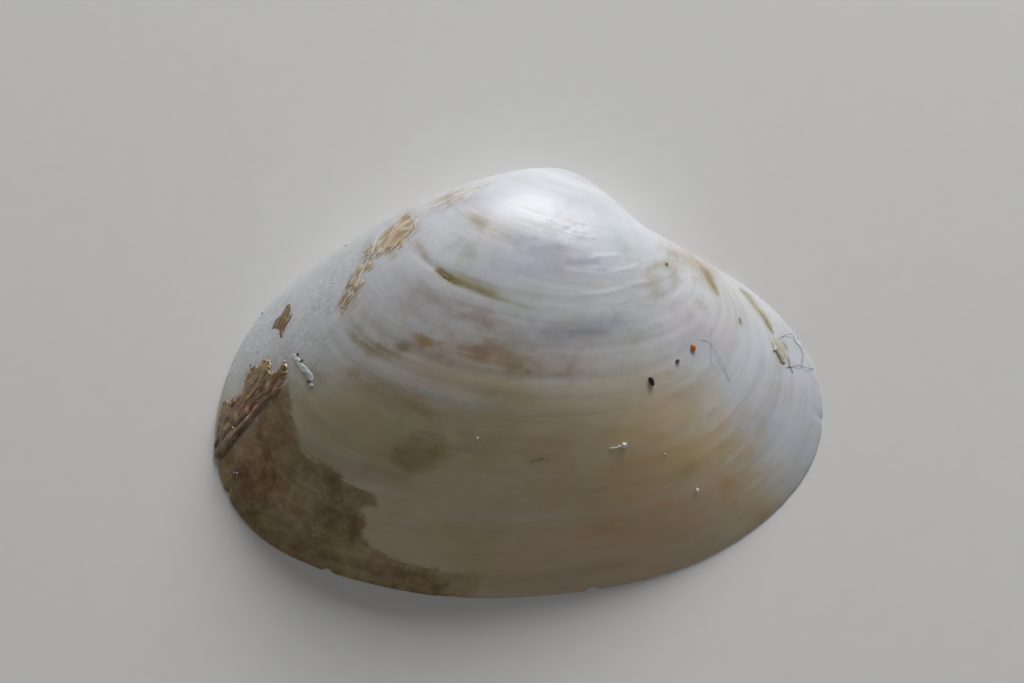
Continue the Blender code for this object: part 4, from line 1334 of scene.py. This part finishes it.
# thin brown and olive lines in the grooves: width, points
STAIN_LINES = [
    (0.9, [(436, 269.6), (441, 273.6), (446, 278), (451, 282)]), (0.6, [(440, 271.6), (446, 276.2), (452, 280.6), (459, 284.6)]),
    (0.5, [(748, 297), (753, 302.5), (758, 308)]), (0.9, [(759, 309), (765, 318), (770, 327), (774, 335)]),
    (0.4, [(736, 286), (742, 291), (746, 295.4)]),
    (0.6, [(712, 284), (715.6, 289.6), (718.6, 295.6)]),
    (0.9, [(739, 317), (740, 321), (741, 325)]), (0.5, [(743, 313), (741, 318)]),
    (0.5, [(787.6, 356), (789, 362), (789.6, 368), (791.6, 373)]), (0.6, [(778, 337), (784, 343), (788, 351)]),
    (0.7, [(531, 462), (537, 459.6), (543, 458.6), (549, 460.8)]), (0.5, [(346, 299), (343.4, 307), (342, 316)]),
]


def stain_shape(x, y):
    best = np.full(np.shape(x), -1e9)
    for k, (width, line) in enumerate(STAIN_LINES):
        d, along = line_distance(x, y, line)
        wide = width * np.sqrt(np.maximum(0.0, 1.0 - (2.0 * along - 1.0) ** 4))
        best = np.maximum(best, wide - d)
    pit = 2.2 - np.hypot(x - 666.6, y - 264.3)
    return np.maximum(best, pit) + 0.5 * noise2(x / 2.2, y / 2.2, 191) + 0.25 * noise2(x / 0.9, y / 0.9, 192)


def stain_lift(x, y, d):
    pale = 0.40 + 0.25 * noise2(x / 2.5, y / 2.5, 193) + 0.30 * smoothstep(x, 600.0, 640.0) + 0.35 * smoothstep(y, 420.0, 440.0)
    return 0.001 + 0.003 * smoothstep(d, 0.0, 2.0), np.clip(pale, 0.0, 1.0), x, y


crust_line = [(293.6, 355.4), (297.0, 360.4), (301, 366.0), (306, 371.0), (309.2, 375.4), (311.2, 379.6)]


def crust_shape(x, y):
    d, along = line_distance(x, y, crust_line)
    wide = 3.1 - 0.9 * smoothstep(along, 0.3, 1.0) + 0.7 * noise2(along * 6.0, 0.5, 181)
    end = 2.2 - np.hypot((x - 311.5), (y - 385.4) * 1.1)
    wide = wide - 1.2 * (1.0 - smoothstep(along, 0.0, 0.25))
    return np.maximum(wide - d, end) + 0.7 * noise2(x / 2.4, y / 2.4, 182) + 0.25 * noise2(x / 0.9, y / 0.9, 183)


def crust_lift(x, y, d):
    body = np.sqrt(np.clip(1.0 - ((3.2 - np.minimum(d, 3.2)) / 3.2) ** 2, 0.0, 1.0))
    height = 0.006 + body * (0.034 + 0.016 * noise2(x / 3.0, y / 3.0, 184) + 0.003 * noise2(x / 1.4, y / 1.4, 185))
    height = height * (0.4 + 0.6 * smoothstep(x, 293.0, 298.0))
    return height, np.clip(0.6 + 0.3 * noise2(x / 1.4, y / 1.4, 186), 0.0, 1.0), x, y


flake("skin_patch", skin_shape, skin_lift, (209, 350, 296, 464), 0.55,
      skin_material("skin_brown", [(0.22, (40, 27, 12)), (0.40, (98, 72, 40)), (0.58, (142, 110, 67)), (0.74, (174, 143, 98)), (0.90, (222, 204, 182))],
                    0.16, 1.0, 0.9, 0.8, 0.9), 0.02)
flake("ridge_skin", strip_shape, strip_lift, (336, 206, 420, 318), 0.62,
      skin_material("skin_tan", [(0.26, (112, 88, 56)), (0.44, (156, 132, 98)), (0.60, (182, 160, 128)), (0.74, (203, 188, 165)), (0.90, (222, 215, 204))],
                    0.36, 2.0, 0.6, 0.5, 0.2), 0.01)
flake("ridge_threads", thread_shape, thread_lift, (336, 174, 506, 326), 0.5,
      skin_material("skin_thread", [(0.30, (192, 176, 150)), (0.55, (210, 203, 190)), (0.80, (220, 218, 214))], 0.46, 5.0, 0.2, 0.2, 0.05), 0.01)
flake("skin_spot", spot_shape, spot_lift, (268, 298, 298, 344), 0.55,
      skin_material("skin_spot_brown", [(0.25, (74, 54, 30)), (0.50, (120, 96, 60)), (0.70, (146, 122, 84)), (0.92, (184, 164, 130))],
                    0.30, 3.0, 0.5, 0.5, 0.4), 0.015)
flake("front_flap", flap_shape, flap_lift, (766, 328, 792, 370), 0.5,
      skin_material("skin_pale", [(0.10, (84, 62, 34)), (0.34, (146, 120, 78)), (0.54, (188, 180, 158)), (0.80, (203, 200, 190))],
                    0.30, 4.0, 0.3, 0.5, 0.4), 0.008)
flake("groove_stains", stain_shape, stain_lift, (410, 234, 796, 466), 0.45, stain_material(), 0.006)
flake("crust", crust_shape, crust_lift, (284, 350, 318, 392), 0.5,
      skin_material("crust_white", [(0.30, (200, 204, 207)), (0.60, (212, 216, 220)), (0.90, (224, 228, 232))], 0.30, 7.0, 0.1, 0.1, 0.2, 0.10), 0.02)


# ------------------------------------------------------- grains, crust, fibres
def lump(x, y, rx, ry, degrees, rise, seed, rough=0.22, square=1.0):
    """A rounded, uneven grain lying on the shell. Half sizes on the plan, and
    its height in millimetres."""
    at, normal, _ = on_surface(np.array([x, y * 1.0])[:1], np.array([y]))
    at, normal = at[0], normal[0]
    a = math.radians(degrees)
    along = RIGHT * math.cos(a) - UP * math.sin(a)
    along = along - normal * (along @ normal)
    along /= np.linalg.norm(along)
    across = np.cross(normal, along)
    bm = bmesh.new()
    bmesh.ops.create_icosphere(bm, subdivisions=3, radius=1.0)
    unit = np.array([v.co[:] for v in bm.verts])
    unit = np.sign(unit) * np.abs(unit) ** square
    tri = [[v.index for v in f.verts] for f in bm.faces]
    bm.free()
    r = 1.0 + rough * (noise2(unit[:, 0] * 1.7 + seed, unit[:, 1] * 1.7 + unit[:, 2], 161 + seed)
                       + 0.5 * noise2(unit[:, 2] * 3.7 + seed, unit[:, 0] * 3.7 - unit[:, 1], 171 + seed))
    q = unit * r[:, None]
    hx, hy = rx / PLAN_SCALE, ry / PLAN_SCALE
    points = at + normal * (q[:, 2:3] * rise / 2 + rise * 0.34) + along * q[:, 0:1] * hx + across * q[:, 1:2] * hy
    return points, tri


def tube(points, radius, sides=6):
    """A closed tube along points in millimetres."""
    points = np.asarray(points, float)
    n = len(points)
    radius = np.broadcast_to(radius, n)
    t = np.gradient(points, axis=0)
    t /= np.linalg.norm(t, axis=1)[:, None]
    side = np.cross(t, np.array([0.31, 0.12, 0.94]))
    side /= np.linalg.norm(side, axis=1)[:, None]
    up = np.cross(side, t)
    a = np.arange(sides) * 2.0 * math.pi / sides
    ring = (side[:, None, :] * np.cos(a)[None, :, None] + up[:, None, :] * np.sin(a)[None, :, None]) * radius[:, None, None]
    pts = (points[:, None, :] + ring).reshape(-1, 3)
    faces_ = []
    for i in range(n - 1):
        for k in range(sides):
            j = (k + 1) % sides
            faces_.append([i * sides + k, i * sides + j, (i + 1) * sides + j, (i + 1) * sides + k])
    faces_.append(list(range(sides))[::-1])
    faces_.append([(n - 1) * sides + k for k in range(sides)])
    return pts, faces_


def smooth_path(points, count):
    """Points evenly along a smooth curve through the given ones."""
    p = np.array(points, float)
    p = np.concatenate([2 * p[:1] - p[1:2], p, 2 * p[-1:] - p[-2:-1]])
    out = []
    for i in range(1, len(p) - 2):
        for t in np.linspace(0.0, 1.0, 12, endpoint=False):
            out.append(0.5 * (2 * p[i] + (p[i + 1] - p[i - 1]) * t + (2 * p[i - 1] - 5 * p[i] + 4 * p[i + 1] - p[i + 2]) * t ** 2
                              + (3 * p[i] - p[i - 1] - 3 * p[i + 1] + p[i + 2]) * t ** 3))
    out.append(p[-2])
    out = np.array(out)
    s = np.concatenate([[0.0], np.cumsum(np.linalg.norm(np.diff(out, axis=0), axis=1))])
    q = np.linspace(0.0, s[-1], count)
    return np.stack([np.interp(q, s, out[:, k]) for k in range(out.shape[1])], axis=1)


def fibre(points, radius, lift, count=28):
    """A fine fibre over the shell: plan points, with its height above it."""
    path = smooth_path([(x, y) for x, y in points], count)
    at, normal, hit = on_surface(path[:, 0], path[:, 1])
    k = np.arange(count) / (count - 1)
    high = radius * 0.8 + lift * np.sin(k * math.pi) ** 2
    keep = hit
    return tube((at + normal * high[:, None])[keep], radius)


def join(name, pieces, material):
    points, faces_, base = [], [], 0
    for p, f_ in pieces:
        points.append(p)
        faces_.extend([[i + base for i in one] for one in f_])
        base += len(p)
    obj = make_object(name, np.concatenate(points), faces_)
    obj.data.materials.append(material)
    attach(obj, "root")
    return obj


join("grain_orange", [lump(692.6, 348.0, 2.7, 3.9, 0, 0.22, 1, 0.14)], grain_material("grain_orange", (190, 98, 16), (234, 148, 48), 0.30, 0.1))
join("grains_brown", [lump(677.2, 361.4, 1.9, 2.0, 0, 0.15, 2),
                      lump(298.0, 354.2, 1.7, 1.2, 30, 0.05, 6), lump(301.6, 361.0, 1.3, 2.2, 50, 0.05, 7), lump(308.7, 380.9, 1.9, 1.1, 0, 0.06, 8),
                      lump(250.2, 365.4, 1.2, 0.9, 10, 0.05, 10)],
     grain_material("grain_brown", (78, 60, 42), (122, 104, 80), 0.45))
join("grain_black", [lump(650.9, 381.4, 4.5, 2.2, 68, 0.20, 3, 0.05, 0.72)], grain_material("grain_black", (22, 14, 12), (48, 34, 28), 0.25))
# White lumps: most are grains stuck on the shell; the small ones on the brown skin patch and the one on the front flap
# at (774.2, 350.2) are painted highlights, white lumps set where glints fall.
join("white_grains_and_glints", [lump(623.9, 445.2, 2.7, 2.3, 20, 0.20, 11), lump(619.0, 446.4, 1.3, 1.0, 10, 0.08, 12), lump(696.9, 490.4, 1.5, 2.1, 10, 0.16, 13),
                      lump(477.5, 437.9, 1.4, 1.3, 0, 0.10, 14), lump(641.0, 223.6, 1.6, 1.4, 0, 0.12, 15), lump(234.4, 472.6, 0.9, 0.8, 0, 0.06, 16),
                      lump(237.2, 472.9, 0.9, 0.9, 0, 0.06, 17), lump(774.2, 350.2, 1.5, 1.2, 0, 0.12, 18), lump(258.6, 351.4, 1.0, 0.9, 0, 0.06, 19),
                      lump(284.8, 361.2, 1.2, 1.0, 40, 0.07, 20), lump(665.0, 454.0, 1.0, 0.9, 0, 0.05, 22),
                      # painted highlights: white lumps where glints fall on the skin patch's folds and rolled edge
                      lump(233.6, 428.0, 1.5, 1.0, 30, 0.10, 26), lump(231.0, 430.6, 0.9, 0.8, 0, 0.08, 27), lump(257.0, 394.0, 1.0, 1.2, 10, 0.08, 28),
                      lump(246.0, 382.0, 0.9, 0.8, 0, 0.06, 29), lump(275.0, 382.0, 0.8, 1.0, 0, 0.06, 30), lump(216.4, 450.0, 0.9, 0.8, 0, 0.06, 31),
                      lump(252.0, 402.6, 0.7, 0.9, 0, 0.05, 32), lump(241.0, 405.0, 0.7, 0.6, 0, 0.05, 33),
                      lump(262.8, 312.8, 1.6, 1.1, -40, 0.08, 23), lump(346.9, 244.9, 1.6, 1.0, -30, 0.07, 24), lump(334.0, 282.4, 0.9, 0.9, 0, 0.05, 25)],
     grain_material("grain_white_and_glint", (214, 214, 210), (246, 246, 244), 0.22, 0.4))

join("dark_fibres", [
    fibre([(781.2, 337.6), (785, 335.6), (789.1, 335.2), (792.6, 337.0), (795.6, 342.6)], 0.011, 0.10),
    fibre([(795.6, 342.6), (799.4, 346.6), (801.6, 352), (801.9, 358), (800.0, 365.4), (795, 366.2), (790.6, 367), (786.0, 367.9)], 0.011, 0.12, 44),
    fibre([(789, 366), (791, 369.6), (792.7, 372.9)], 0.014, 0.04, 12), fibre([(800.4, 366.0), (806, 368.6), (813.6, 369)], 0.010, 0.08, 20)],
     grain_material("fibre_dark", (38, 38, 46), (70, 70, 80), 0.5))
join("pale_fibres", [
    fibre([(700.3, 340.4), (705, 340.6), (710.3, 343.3), (714, 349.6), (717.5, 356.2), (724.6, 370.5), (729.8, 382.2)], 0.0080, 0.10, 60),
    fibre([(711.9, 327.5), (710.6, 336), (710.3, 343.3), (711.0, 355), (710.3, 366.2)], 0.0065, 0.05, 40)],
     grain_material("fibre_grey", (138, 143, 164), (172, 176, 194), 0.5))
join("white_fibre", [
    fibre([(622.4, 446.0), (616, 447.4), (609.4, 448.3)], 0.022, 0.03, 16), fibre([(608.6, 586.0), (609.2, 589.6), (609.6, 593.0)], 0.022, 0.02, 10)],
     grain_material("fibre_white", (226, 226, 222), (248, 248, 246), 0.35, 0.3))

# ----------------------------------------------------- stage, light and camera
scene = bpy.context.scene

floor_mesh = bpy.data.meshes.new("floor")
half = 0.9
floor_mesh.from_pydata([(-half, -half, 0), (half, -half, 0), (half, half, 0), (-half, half, 0)], [], [(0, 1, 2, 3)])
floor = bpy.data.objects.new("floor", floor_mesh)
floor.location.z = -0.00002
scene.collection.objects.link(floor)
f = Tree("floor_paper")
f.feed(f.shader.inputs["Base Color"], f.mix(f.ramp(f.noise(f.position(), 900.0, 3.0), 0.3, 0.7, 0.0, 0.25),
                                            rgba(238, 237, 235), rgba(232, 231, 229)))
f.shader.inputs["Roughness"].default_value = 0.85
f.shader.inputs["Specular IOR Level"].default_value = 0.2
floor_mesh.materials.append(f.material)


def soft_light(name, azimuth, elevation, distance, width, height, power, colour):
    """Azimuth 0 is the dorsal side (+Y), 90 the anterior end (+X)."""
    data = bpy.data.lights.new(name, "AREA")
    data.shape = "RECTANGLE"
    data.size, data.size_y = width, height
    data.energy = power
    data.color = colour
    obj = bpy.data.objects.new(name, data)
    a, e = math.radians(azimuth), math.radians(elevation)
    way = Vector((math.sin(a) * math.cos(e), math.cos(a) * math.cos(e), math.sin(e)))
    obj.location = way * distance
    obj.rotation_mode = "QUATERNION"
    obj.rotation_quaternion = way.to_track_quat("Z", "Y")
    scene.collection.objects.link(obj)
    return obj


soft_light("key", 20, 24, 0.42, 0.30, 0.15, 1.70, (0.99, 0.99, 1.0))
soft_light("fill", 190, 55, 0.6, 0.5, 0.5, 0.12, (1.0, 0.97, 0.92))

world = bpy.data.worlds.new("studio")
world.use_nodes = True
world.node_tree.nodes["Background"].inputs["Color"].default_value = (0.98, 0.99, 1.0, 1.0)
world.node_tree.nodes["Background"].inputs["Strength"].default_value = 0.13
scene.world = world
scene.view_settings.view_transform = "Standard"

camera_data = bpy.data.cameras.new("camera")
camera_data.sensor_fit = "HORIZONTAL"
camera_data.sensor_width = 36.0
camera_data.lens = FOCAL / 1024.0 * 36.0
camera_data.clip_start, camera_data.clip_end = 0.01, 10.0
camera = bpy.data.objects.new("camera", camera_data)
scene.collection.objects.link(camera)
eye = (EYE + OFFSET) * MM
camera.matrix_world = Matrix(((RIGHT[0], UP[0], BACK[0], eye[0]), (RIGHT[1], UP[1], BACK[1], eye[1]),
                              (RIGHT[2], UP[2], BACK[2], eye[2]), (0.0, 0.0, 0.0, 1.0)))
scene.camera = camera

bpy.context.view_layer.update()
